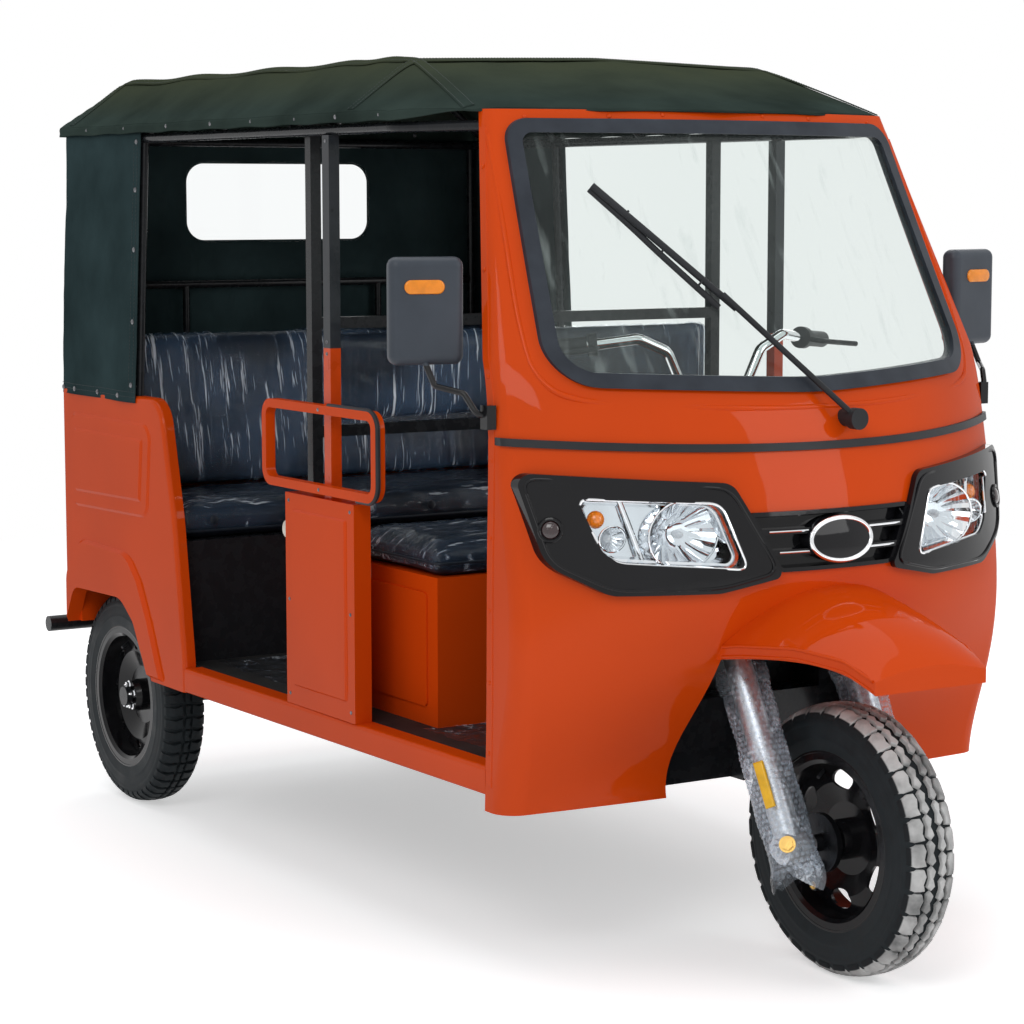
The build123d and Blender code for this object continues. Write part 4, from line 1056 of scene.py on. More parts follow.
class RICKSHAW_OT_curtain(bpy.types.Operator):
    """Rear curtain with its hem, window frame and snap fasteners"""
    bl_idname = "rickshaw.curtain"
    bl_label = "Rear curtain"

    def execute(self, context):
        sizes = context.scene.rickshaw_curtain
        curtain = add_piece("rear_curtain", curtain_mesh(), "curtain", angle=60)
        thicken(curtain, sizes.cloth)
        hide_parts("canopy_curtain")
        frame_band = add_piece("window_frame", [pane_ring(0.024, 0.003, -0.002)], "curtain")
        rows = [[curtain_place(x, s, CURTAIN_FOOT + lift, n) + Vector((n[0], n[1], 0)) * 0.0008
                 for x, s, n in curtain_plan(CURTAIN_HALF[0] + 0.0005)] for lift in (0.014, 0.026)]
        rows += [[curtain_side(side, inset, z) + Vector((side * 0.0008, 0, 0))
                  for z in np.linspace(CURTAIN_FOOT + 0.03, CURTAIN_HEAD - 0.02, 50)]
                 for side in (-1, 1) for inset in (0.012, 0.030)]
        threads = stitched("curtain_stitches", rows, Length=0.006, Gap=0.003, Thickness=0.0007)
        places = []
        for side in (-1, 1):
            places += [(curtain_side(side, 0.020, z), (side, 0, 0)) for z in SIDE_SNAPS]
            places += [(curtain_place(side * CURTAIN_HALF[0], s, CURTAIN_FOOT + 0.014, (side, 0)), (side, 0, 0))
                       for s in FOOT_SNAPS]
        on_points("curtain_snaps", places, "dark_metal", Radius=sizes.stud, Height=0.0035)
        return {"FINISHED"}


# ---- seats
VOXEL = 0.008                   # grid that a pad is remeshed on before it is stuffed
PRESSURE = 4.0
STUFFING_FRAMES = 20
FILM_SCALE = 16.0               # creases of the seats' film


def pad_mesh(name, low, high, corner, crown=0.0, waist=0.0):
    """Rounded block with a crowned top and sides that pull in between their corners."""
    half, centre = (high - low) / 2, (high + low) / 2
    core = Vector([max(h - corner, 0.001) for h in half])
    mesh = bpy.data.meshes.new(name)
    with editing(mesh) as bm:
        bmesh.ops.create_cube(bm, size=2)
        bmesh.ops.subdivide_edges(bm, edges=bm.edges[:], cuts=26, use_grid_fill=True)
        for vert in bm.verts:
            u = vert.co.copy()
            place = Vector([u[i] * half[i] for i in range(3)])
            inner = Vector([clamp(place[i], -core[i], core[i]) for i in range(3)])
            out = place - inner
            if out.length > 1e-9:
                place = inner + out.normalized() * corner
            place.x -= u.x * waist * (1 - u.y ** 2)
            place.y -= u.y * waist * (1 - u.x ** 2)
            if u.z > 0:
                place.z += crown * (1 - u.x ** 4) * (1 - u.y ** 4) * u.z
            vert.co = centre + place
    return mesh


def points_of(mesh):
    flat = np.empty(len(mesh.vertices) * 3)
    mesh.vertices.foreach_get("co", flat)
    return flat.reshape(-1, 3)


def stuffed(mesh, name, cap, within):
    """Remesh the pad, blow it up as cloth over its filling and keep each point within cap of its start."""
    obj = linked(name, mesh)
    voxels = obj.modifiers.new("voxels", "REMESH")
    voxels.mode, voxels.voxel_size = "VOXEL", VOXEL
    start = baked(obj, name)
    obj = linked(name, start)
    cloth = obj.modifiers.new("stuffing", "CLOTH")
    cloth.settings.use_pressure = True
    cloth.settings.uniform_pressure_force = PRESSURE
    cloth.settings.effector_weights.gravity = 0
    cloth.settings.quality = 4
    cloth.collision_settings.use_collision = False
    scene = bpy.context.scene
    for frame_number in range(1, STUFFING_FRAMES + 1):
        scene.frame_set(frame_number)
    before = points_of(start)
    graph = bpy.context.evaluated_depsgraph_get()
    move = points_of(bpy.data.meshes.new_from_object(obj.evaluated_get(graph))) - before
    reach = np.maximum(np.linalg.norm(move, axis=1), 1e-9)
    place = np.clip(before + move * np.minimum(1, cap / reach)[:, None], *within)
    start.vertices.foreach_set("co", place.ravel())
    start.update()
    bpy.data.objects.remove(obj)
    scene.frame_set(1)
    return start


def softened(mesh):
    with editing(mesh) as bm:
        for _ in range(3):
            bmesh.ops.smooth_vert(bm, verts=bm.verts, factor=0.5, use_axis_x=True, use_axis_y=True, use_axis_z=True)
    return mesh


def reshaped(mesh, move):
    """Move each vertex by what move(place, normal) gives."""
    mesh.update()
    normals = [v.normal.copy() for v in mesh.vertices]
    for vert, normal in zip(mesh.vertices, normals):
        vert.co += move(vert.co.copy(), normal)
    mesh.update()


def dents(mesh, places, radius, depth, axis):
    """Pull the pad in round each button."""
    def move(place, normal):
        total = Vector((0, 0, 0))
        for spot in places:
            gap = (place - spot).length
            if gap < radius * 3:
                total += Vector(axis) * -depth * exp(-(gap / radius) ** 2)
        return total
    reshaped(mesh, move)


def channels(mesh, lines, depth, width, facing):
    """Sewn grooves where a pad's cover is stitched through: lines of (axis index, value)."""
    def move(place, normal):
        if normal.dot(Vector(facing)) < 0.3:
            return Vector((0, 0, 0))
        pull = sum(exp(-((place[axis] - value) / width) ** 2) for axis, value in lines)
        return normal * -depth * min(pull, 1.0)
    reshaped(mesh, move)


def ridges(place, scale, stretch, seed):
    """Sharp folds between 0 and 1, drawn out along the axes with a small stretch."""
    point = Vector((place.x * stretch[0], place.y * stretch[1], place.z * stretch[2])) * scale
    point += Vector((seed, seed * 0.7, 0))
    warp = noise.noise(point * 0.6) * 0.8
    return max(0.0, 1 - 4 * abs(noise.noise(point + Vector((warp, warp, warp)))))


def film_over(name, pad, keep, stretch, seed, fold, lift):
    """Clear film drawn over a pad: its own skin a little proud, with pulled creases."""
    mesh = bpy.data.meshes.new(name)
    with editing(pad, mesh) as bm:
        bm.normal_update()
        away = [f for f in bm.faces if not keep(f.calc_center_median(), f.normal)]
        bmesh.ops.delete(bm, geom=away, context="FACES")
        bmesh.ops.delete(bm, geom=[v for v in bm.verts if not v.link_faces], context="VERTS")
        bm.normal_update()
        for vert in bm.verts:
            place = vert.co.copy()
            crease = ridges(place, FILM_SCALE, stretch, seed) ** 2
            crease += 0.5 * ridges(place, FILM_SCALE * 2.3, stretch, seed + 5)
            vert.co = place + vert.normal * (lift + fold * min(crease, 1.2))
    return mesh


def upholster(name, node, shape, cap, room, film, keep, stretch, seed, fold, lift=0.0022,
              sewn=()):
    """A node's pad, stuffed and sewn, and the clear film stretched on it. room is how far it may bulge past
    the node's box at its low and high corners, and sewn are the channels or dents: (function, *sizes)."""
    low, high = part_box(node)
    mesh = stuffed(shape, name, cap, (np.array(low) + room[0], np.array(high) + np.array(room[1])))
    for work, *sizes in sewn:
        work(mesh, *sizes)
    pad = add_piece(name, softened(mesh), "vinyl", angle=60)
    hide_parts(node)
    label = name.replace("_cover", "") + "_film"
    skin = add_piece(label, film_over(label, pad.data, keep, stretch, seed, fold, lift), film, angle=80)


def piping(name, path, radius):
    """Welt cord sewn along a seam."""
    add_piece(name, [sweep_tube(smooth_path(path, 4), radius, 8)], "vinyl", angle=80)


# a cushion's welt: shares of its half width and half length, round from its right side
WELT = ((-1, -0.9), (-1, 0), (-1, 0.9), (-0.9, 1), (0, 1), (0.9, 1), (1, 0.9), (1, 0), (1, -0.9), (0.9, -1),
        (0, -1), (-0.9, -1), (-1, -0.9))


class RICKSHAW_OT_seats(bpy.types.Operator):
    """Driver's and passengers' cushions and backrests under their clear film"""
    bl_idname = "rickshaw.seats"
    bl_label = "Seats"

    def execute(self, context):
        sizes = context.scene.rickshaw_seats
        self.driver(sizes)
        self.bench(sizes)
        return {"FINISHED"}

    def driver(self, sizes):
        low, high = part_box("driver_seat")
        shape = pad_mesh("driver_cushion", low + Vector((0.010, 0.010, 0.002)), high - Vector((0.010, 0.010, 0.014)),
                         0.026, 0.008, 0.006)
        upholster("driver_cushion", "driver_seat", shape, 0.010, (0.001, (0.004, 0.004, 0.008)), "film_seat",
                  lambda p, n: n.z > -0.5 and p.z > low.z + 0.012, (0.5, 1.6, 1.0), 3.0, sizes.fold,
                  sewn=[(channels, [(1, high.y - 0.10), (1, low.y + 0.10)], 0.004, 0.006, (0, 0, 1))])
        half, centre = (high - low) / 2, (high + low) / 2
        piping("driver_cushion_piping", [(centre.x + half.x * 0.965 * u, centre.y + half.y * 0.955 * v, low.z + 0.030)
                                         for u, v in WELT], sizes.piping)
        low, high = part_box("driver_backrest_pad")
        inset = Vector((0.008, 0.004, 0.006))
        upholster("driver_backrest", "driver_backrest_pad",
                  pad_mesh("driver_backrest", low + inset, high - inset, 0.014), 0.006, (0.0, (0.0, 0.0, 0.0)),
                  "film_back", lambda p, n: n.y < 0.3, (1.5, 1.0, 0.45), 8.0, sizes.fold * 0.85,
                  0.0015)

    def bench(self, sizes):
        low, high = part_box("bench_cushion")
        shape = pad_mesh("bench_cushion_cover", low + Vector((0.008, 0.006, 0.002)),
                         high - Vector((0.008, 0.006, 0.010)), 0.026, 0.006, 0.005)
        buttons = [Vector((x, low.y + 0.012, low.z + 0.045)) for x in np.linspace(-0.5, 0.5, 6)]
        upholster("bench_cushion_cover", "bench_cushion", shape, 0.008, (0.001, (0.0, 0.0, 0.006)), "film_seat",
                  lambda p, n: n.z > -0.4 and p.z > low.z + 0.02, (0.6, 1.5, 1.0), 6.0, sizes.fold,
                  sewn=[(channels, [(1, low.y + 0.085)], 0.004, 0.006, (0, 0, 1)),
                        (dents, buttons, 0.018, 0.004, (0, -1, 0))])
        piping("bench_piping", [(x, low.y + 0.004, low.z + 0.020)
                                for x in np.linspace(low.x + 0.02, high.x - 0.02, 9)], sizes.piping)
        on_points("bench_buttons", [(b - Vector((0, 0.006, 0)), (0, -1, 0)) for b in buttons], "vinyl",
                  Radius=0.011, Height=0.004)
        low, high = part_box("bench_backrest")
        shape = bpy.data.meshes.new("bench_backrest_cover")
        with editing(NODES["bench_backrest"].data, shape) as bm:
            bmesh.ops.remove_doubles(bm, verts=bm.verts, dist=1e-5)
        centre = (low + high) / 2
        for vert in shape.vertices:
            vert.co = centre + (vert.co - centre) * 0.985
        upholster("bench_backrest_cover", "bench_backrest", shape, 0.008, (0.0, (0.0, 0.0, 0.0)), "film_back",
                  lambda p, n: n.y < 0.5, (1.7, 1.0, 0.35), 11.0, sizes.fold,
                  sewn=[(channels, [(0, x) for x in (-0.36, -0.12, 0.12, 0.36)], sizes.channel, 0.012,
                         (0, -1, 0.2))])


# ---- tyres and wheels
WHEELS = {name: (name + "_tyre", name + "_wheel") for name in ("front", "rear_right", "rear_left")}
GROOVE = 0.0075
NUT_CIRCLE, HUB_FACE = 0.028, 0.036     # radius that the nuts stand on, and how far out
VALVE_RADIUS, VALVE_TURN = 0.118, 1.1
# sidewall from the bead up: width and radius, then the same as steps in from the tyre's half width
BEAD = [(0.044, 0.156), (0.0452, 0.171), (0.052, 0.1735), (0.0545, 0.181)]
WALL = [(0.001, 0.196), (-0.0002, 0.200), (-0.0002, 0.203), (0.0004, 0.205), (0.0, 0.212), (0.0006, 0.224),
        (0.0012, 0.228), (0.0006, 0.2295), (0.0028, 0.236), (0.006, 0.246), (0.011, 0.2525)]
RIM_LIP = [(0.0525, 0.1725), (0.0535, 0.1765), (0.0515, 0.1785), (0.0485, 0.1765), (0.049, 0.1725)]


def wheel_centre(name):
    low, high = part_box(WHEELS[name][0])
    return (low + high) / 2, (high.x - low.x) / 2


def crown_radius(x, half):
    """Radius of the tread's outer face across the tyre."""
    share = min(abs(x) / (half - 0.016), 1.0)
    return TYRE_RADIUS - 0.0065 * share ** 2 - max(0.0, abs(x) - half + 0.016)


def carcass_profile(half):
    """Closed section of the tyre below its tread: x and radius from the bead round the crown."""
    wall = BEAD + [(half - inset, r) for inset, r in WALL]
    crown = [(x, crown_radius(x, half) - GROOVE) for x in np.linspace(half - 0.018, 0.018 - half, 15)]
    return wall + crown + [(-x, r) for x, r in reversed(wall)]


def tread_block(outline, half, drop=0.0):
    """Block standing on the tyre: outline of (x, along) points on the unrolled tread."""
    outline = [Vector(p) for p in outline]
    middle = sum(outline, Vector((0, 0))) / len(outline)
    dense = []
    for a, b in zip(outline, outline[1:] + outline[:1]):
        pieces = max(1, ceil((b - a).length / 0.011))
        dense += [a + (b - a) * i / pieces for i in range(pieces)]

    def rolled(p, depth):
        radius, turn = crown_radius(p.x, half) - depth - drop, p.y / TYRE_RADIUS
        return p.x, radius * sin(turn), radius * cos(turn)
    verts = [rolled(p + (middle - p).normalized() * inset, depth)
             for inset, depth in ((0.0, GROOVE + 0.001), (0.0004, 0.0022), (0.0022, 0.0002)) for p in dense]
    count = len(dense)
    faces = grid_faces(3, count, closed=True) + fan(2 * count, count, 3 * count)
    return verts + [rolled(middle, 0.0)], faces + [tuple(reversed(range(count)))]


def road_pitch(half, count):
    """One pitch of the front tread: rounded shoulder blocks and zigzag rows between them."""
    step, edge = 2 * pi * TYRE_RADIUS / count, half - 0.003
    shoulder = [(edge, -0.40), (edge, 0.30), (edge - 0.012, 0.44), (0.030, 0.42), (0.0245, 0.16), (0.029, -0.20),
                (0.026, -0.46), (edge - 0.010, -0.50)]
    inner = [(0.0225, -0.30), (0.0185, 0.02), (0.0215, 0.40), (0.0135, 0.54), (0.0055, 0.36), (0.0095, 0.04),
             (0.0050, -0.32), (0.0130, -0.46)]
    return [tread_block([(side * x, along * step + shift) for x, along in shape], half)
            for side, shift in ((-1, 0.0), (1, 0.5 * step)) for shape in (shoulder, inner)]


def lateral_pitch(half, count):
    """One pitch of the rear tread: long bars across, a rib in the middle and slots on the shoulder."""
    step, edge = 2 * pi * TYRE_RADIUS / count, half - 0.003
    bar = [(edge, -0.36), (edge, 0.36), (0.030, 0.30), (0.013, 0.44), (0.011, -0.30), (0.029, -0.44)]
    rib = [(0.0075, -0.44), (0.0045, 0.0), (0.0075, 0.44), (-0.0045, 0.44), (-0.0075, 0.0), (-0.0045, -0.44)]
    blocks = [tread_block([(side * x, along * step) for x, along in bar], half) for side in (-1, 1)]
    return blocks + [tread_block([(x, along * step) for x, along in rib], half, 0.0005)]


class RICKSHAW_OT_tyres(bpy.types.Operator):
    """Tyres with moulded sidewalls and a tread laid round them"""
    bl_idname = "rickshaw.tyres"
    bl_label = "Tyres"

    def execute(self, context):
        sizes = context.scene.rickshaw_wheels
        kinds = {"front": (road_pitch, sizes.front_pitches, "front_tread")}
        for name, (node, body) in WHEELS.items():
            centre, half = wheel_centre(name)
            label = name + "_tyre_body"
            carcass = add_piece(label, lathe(label, carcass_profile(half), centre, 144), "tyre", body, angle=50)
            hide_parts(node)
            pitch, count, finish = kinds.get(name, (lateral_pitch, sizes.rear_pitches, "tyre"))
            label = name + "_tread"
            tread = grown(label, joined(label, pitch(half, count)), ring_tree(), finish, Count=count,
                          Centre=tuple(centre))
            add_piece(label, tread, finish, body)
        return {"FINISHED"}


class RICKSHAW_OT_hubs(bpy.types.Operator):
    """Wheel nuts, hub studs, rim steps and tyre valves"""
    bl_idname = "rickshaw.hubs"
    bl_label = "Hubs"

    def execute(self, context):
        sizes = context.scene.rickshaw_wheels
        for name, (_, body) in WHEELS.items():
            centre, _ = wheel_centre(name)
            sides = {"front": {"front_right": -1, "front_left": 1}}.get(name, {name: -1 if "right" in name else 1})
            for label, side in sides.items():
                ring = lathe(label + "_rim_lip", [(side * x, r) for x, r in RIM_LIP], centre)
                add_piece(label + "_rim_lip", ring, "wheel", body, angle=60)
            side = next(iter(sides.values()))
            if name != "front":
                turns = [2 * pi * i / 5 + 0.3 for i in range(5)]
                spots = [(Vector((centre.x + side * HUB_FACE, centre.y + NUT_CIRCLE * cos(a),
                                  centre.z + NUT_CIRCLE * sin(a))),
                          (side, 0, 0)) for a in turns]
                on_points(name + "_wheel_nuts", spots, "chrome", body, bolt_tree, Radius=sizes.nut, Height=0.010)
                on_points(name + "_hub_studs", spots, "chrome", body, Radius=0.0040, Height=0.016)
            foot = VALVE_RADIUS * cos(VALVE_TURN), VALVE_RADIUS * sin(VALVE_TURN)
            stem = [centre + Vector((side * x, foot[0] + y, foot[1] + z))
                    for x, y, z in ((0.0, 0.014, 0.026), (0.012, 0.010, 0.018), (0.030, 0.004, 0.008))]
            add_piece(name + "_valve", [sweep_tube(smooth_path(stem, 4), 0.0035, 8)], "plastic", body)
        return {"FINISHED"}


# ---- lamps, grille and front trim
class Face:
    """Places on the cowl's front found by looking straight back at some nodes."""

    def __init__(self, *nodes):
        self.tree = surface_of(*nodes)

    def at(self, x, z, lift=0.0):
        return onto(self.tree, at(x, -0.5, z), (0, 1, 0), lift)

    def line(self, points, lift=0.0):
        return [self.at(x, z, lift)[0] for x, z in points]


def rounded_outline(points, radius, steps=6):
    """Closed (x, z) outline with its corners rounded."""
    result = []
    for i, point in enumerate(points):
        p, a, b = Vector(point), Vector(points[i - 1]), Vector(points[(i + 1) % len(points)])
        cut = min(radius, (a - p).length * 0.45, (b - p).length * 0.45)
        start, end = p + (a - p).normalized() * cut, p + (b - p).normalized() * cut
        for k in range(steps + 1):
            t = k / steps
            result.append(start * (1 - t) ** 2 + p * 2 * t * (1 - t) + end * t ** 2)
    return result


def edge_bead(face, outline, corner, radius, lift):
    """Round bead along a rounded outline on the face."""
    path = face.line(rounded_outline(outline, corner), lift)
    return sweep_tube(path + path[:1], radius, 8)


def flat_patch(face, outline, lift, rows=5):
    """Thin skin inside an outline that follows the face."""
    centre = sum((Vector(p) for p in outline), Vector((0, 0))) / len(outline)
    verts = face.line([centre + (Vector(p) - centre) * (1 - k / rows) for k in range(rows) for p in outline], lift)
    count = len(outline)
    faces = grid_faces(rows, count, closed=True) + fan((rows - 1) * count, count, rows * count)
    return verts + face.line([centre], lift), faces


BEZEL_LINE = [(0.590, 0.982), (0.235, 0.958), (0.146, 0.796), (0.262, 0.770), (0.456, 0.771), (0.556, 0.824)]
LENS = [(0.508, 0.944), (0.256, 0.931), (0.209, 0.804), (0.446, 0.822), (0.474, 0.846)]
# bowls behind each lens: x, z, radius, depth
BOWLS = [(0.318, 0.871, 0.066, 0.052), (0.444, 0.866, 0.024, 0.022)]
BOWL_WIDE = 1.22                # how much wider than tall a bowl is
DIVIDER = ((0.428, 0.938), (0.398, 0.828))
AMBER_SPOT = (0.462, 0.902)
SIDE_LAMP = (0.553, 0.886)


def dish(place, radius, depth, sides=40, rings=9):
    """Reflector bowl open to the front."""
    verts = []
    for r in range(rings):
        share = 1 - r / (rings - 0.6)
        for s in range(sides):
            a = 2 * pi * s / sides
            facet = 1 - 0.055 * (s % 2)
            verts.append(place + Vector((BOWL_WIDE * radius * share * facet * cos(a), depth * (1 - share ** 2),
                                         radius * share * facet * sin(a))))
    return verts, grid_faces(rings, sides, closed=True) + [tuple((rings - 1) * sides + s for s in range(sides))]


def ball(place, size, sides=16, rings=10):
    grid = [(2 * pi * s / sides, pi * r / rings) for r in range(1, rings) for s in range(sides)]
    verts = [place + Vector((size[0] * sin(b) * cos(a), size[1] * cos(b), size[2] * sin(b) * sin(a)))
             for a, b in grid]
    count = len(verts)
    faces = grid_faces(rings - 1, sides, closed=True) + fan(0, sides, count) + fan(count - sides, sides, count + 1)
    return verts + [place + Vector((0, size[1], 0)), place - Vector((0, size[1], 0))], faces


class RICKSHAW_OT_headlamps(bpy.types.Operator):
    """What shows through each headlamp lens, and the beads of its surround"""
    bl_idname = "rickshaw.headlamps"
    bl_label = "Headlamps"

    def execute(self, context):
        sizes = context.scene.rickshaw_lamps
        lens_face = Face("headlamp_lenses")
        skin = Face("lamp_surrounds", "headlamp_lenses", "grille", "front_cowl")
        bowls, bulbs, ambers, beads, dividers, rims, rings = [], [], [], [], [], [], []
        turns = np.linspace(0, 2 * pi, 33)
        (x0, z0), (x1, z1) = DIVIDER
        for side in (-1, 1):
            for x, z, radius, depth in BOWLS:
                seat = lens_face.at(side * x, z)[0] + Vector((0, 0.016, 0))
                bowls.append(dish(seat, radius, depth))
                bulbs.append(ball(seat + Vector((0, 0.022, 0)), (0.009, 0.016, 0.009)))
                bowls.append(sweep_tube([seat + Vector((BOWL_WIDE * radius * cos(a), 0, radius * sin(a)))
                                         for a in turns], 0.0022, 6))
            place, _ = lens_face.at(side * AMBER_SPOT[0], AMBER_SPOT[1])
            ambers.append(ball(place + Vector((0, 0.030, 0)), (0.017, 0.017, 0.017)))
            bar = lens_face.line([(side * (x0 + (x1 - x0) * t), z0 + (z1 - z0) * t) for t in np.linspace(0, 1, 8)])
            dividers.append(sweep_tube([p + Vector((0, 0.012, 0)) for p in bar], 0.0045, 8))
            beads.append(edge_bead(skin, [(side * x, z) for x, z in LENS], 0.022, sizes.bead, 0.0005))
            rims.append(edge_bead(skin, [(side * x, z) for x, z in BEZEL_LINE], 0.03, 0.003, 0.001))
        add_piece("headlamp_bowls", bowls, "chrome", angle=25)
        add_piece("headlamp_bulbs", bulbs, "bulb")
        add_piece("indicator_bulbs", ambers, "amber")
        add_piece("headlamp_dividers", dividers, "chrome")
        add_piece("headlamp_beads", beads, "chrome")
        add_piece("surround_beads", rims, "piano")
        spots = [skin.at(side * SIDE_LAMP[0], SIDE_LAMP[1], 0.0005) for side in (-1, 1)]
        on_points("side_lamps", spots, "smoked", Radius=0.0175, Height=0.007, Sides=28, Rings=12)
        for place, normal in spots:
            turn = normal.to_track_quat("Z", "Y")
            circle = [place + turn @ Vector((0.0215 * cos(a), 0.0215 * sin(a), 0.001)) for a in turns]
            rings.append(sweep_tube(circle, 0.0036, 8))
        add_piece("side_lamp_rings", rings, "piano")
        return {"FINISHED"}


OVAL_X, OVAL_Z = 0.078, 0.046   # half sizes of the oval in the grille
OVAL_MIDDLE = 0.852


class RICKSHAW_OT_grille_trim(bpy.types.Operator):
    """Bright strips along the grille bars and a blank oval disc in its ring"""
    bl_idname = "rickshaw.grille_trim"
    bl_label = "Grille trim"

    def execute(self, context):
        sizes = context.scene.rickshaw_lamps
        face = Face("grille", "lamp_surrounds")
        strips = []
        for z, reach in ((0.8995, 0.178), (0.872, 0.160), (0.832, 0.140)):
            start = 0.0 if z > 0.89 else OVAL_X * sqrt(max(0.05, 1 - ((z - OVAL_MIDDLE) / OVAL_Z) ** 2)) + 0.004
            strips += [sweep_tube(face.line([(side * x, z) for x in np.linspace(start, reach, 12)], 0.0015),
                                  sizes.strip, 6) for side in (-1, 1)]
        add_piece("grille_strips", strips, "chrome")

        def oval(inset):
            return [((OVAL_X - inset) * cos(a), OVAL_MIDDLE + (OVAL_Z - inset) * sin(a))
                    for a in np.linspace(0, 2 * pi, 65)]
        add_piece("oval_ring", [sweep_tube(face.line(oval(0.005), 0.001), 0.0052, 10)], "chrome", angle=80)
        verts, faces = flat_patch(face, oval(0.008)[:-1], 0.0015)
        middle = verts[-1].copy()
        for vert in verts:
            away = hypot((vert.x - middle.x) / OVAL_X, (vert.z - middle.z) / OVAL_Z)
            vert.y -= 0.006 * max(0.0, 1 - away ** 2)
        add_piece("oval_disc", mesh_from("oval_disc", verts, faces), "piano", angle=80)
        return {"FINISHED"}


# ---- wrapped fork legs
LEG_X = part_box("fork_wraps")[1].x - 0.037
# heights on a leg and the radius of its wrap there, from the gathered top to the torn foot
WRAP_SHAPE = [(0.590, 0.050), (0.578, 0.054), (0.560, 0.051), (0.550, 0.0455), (0.541, 0.0475), (0.500, 0.0490),
              (0.462, 0.0455), (0.440, 0.0485), (0.380, 0.0480), (0.320, 0.0490), (0.285, 0.0475), (0.262, 0.0465),
              (0.240, 0.0480), (0.222, 0.0520)]
WRAP_TOP, WRAP_FOOT = WRAP_SHAPE[0][0], WRAP_SHAPE[-1][0]
# heights and lift of the ties round a wrap
WRAP_TIES = ((0.550, 0.0012), (0.462, 0.0010), (0.300, 0.0014))
BAR_HEIGHT, BAR_TURN, NUT_TURN = 0.376, 0.98, 0.75     # reflector bar and axle nut on a leg
BRAKE_CABLE = [(-0.0790, 0.040, 0.235), (-0.0800, 0.090, 0.360), (-0.0830, 0.165, 0.520), (-0.0860, 0.200, 0.596)]
LEG_DOWN = Vector((0, -sin(RAKE), -cos(RAKE)))
LEG_OUT = Vector((0, -cos(RAKE), sin(RAKE)))


def leg_point(side, z, turn=0.0, radius=0.0):
    """Point round a fork leg: turn 0 faces forwards and a quarter turn faces the outside."""
    centre = at(side * LEG_X, (z - TYRE_RADIUS) * tan(RAKE), z)
    return centre + (LEG_OUT * cos(turn) + Vector((side * sin(turn), 0, 0))) * radius


def wrap_radius(side, z, turn):
    """Radius of the film round the leg, with its folds."""
    plain = float(np.interp(z, *zip(*reversed(WRAP_SHAPE))))
    gather = max(0.0, 1 - abs(z - 0.550) / 0.035) + 0.6 * max(0.0, 1 - abs(z - 0.462) / 0.03)
    fold = 0.0022 * sin(turn * 13 + side * 2 + 9 * z) * gather
    drape = 0.0030 * cloth_noise((cos(turn) * 0.05 + side, sin(turn) * 0.05, z), 17.0, (1, 1, 0.7), 2.0)
    return plain + fold + drape


def wrap_point(side, z, turn, lift):
    return leg_point(side, z, turn, wrap_radius(side, z, turn) + lift)


def foot_drop(turn):
    """How far the torn foot of the wrap hangs below its level edge, by the turn round the leg."""
    points = ((0.25, 0.040), (1.75, 0.030), (3.0, 0.018), (4.4, 0.034))
    return max(depth * max(0.0, 1 - abs((turn - place + pi) % (2 * pi) - pi) / 0.75) for place, depth in points)


def wrap_mesh(side, name, rows=74, columns=96):
    verts = []
    for r in range(rows):
        share = r / (rows - 1)
        low = max(0.0, (share - 0.86) / 0.14)
        for c in range(columns):
            turn = 2 * pi * c / columns
            z = WRAP_TOP + (WRAP_FOOT - WRAP_TOP) * share - foot_drop(turn) * low ** 1.5
            flare = 0.35 * foot_drop(turn) * low ** 2
            verts.append(leg_point(side, z, turn, wrap_radius(side, max(z, WRAP_FOOT), turn) + flare))
    mesh = mesh_from(name, verts, grid_faces(rows, columns, closed=True))
    middle = leg_point(side, 0.4)
    with editing(mesh) as bm:
        bm.normal_update()
        face = min(bm.faces, key=lambda f: (f.calc_center_median() - middle).length)
        if face.normal.dot(face.calc_center_median() - middle) < 0:
            bmesh.ops.reverse_faces(bm, faces=bm.faces)
    return mesh


def bubble_places(side, pitch, count=26):
    """Staggered rows of bubbles over the wrap."""
    places = []
    row, z = 0, WRAP_TOP - 0.006
    while z > WRAP_FOOT + 0.004:
        for i in range(count):
            place = wrap_point(side, z, 2 * pi * (i + 0.5 * (row % 2)) / count, -0.0006)
            places.append((place, place - leg_point(side, z)))
        row, z = row + 1, z - pitch * cos(RAKE)
    return places


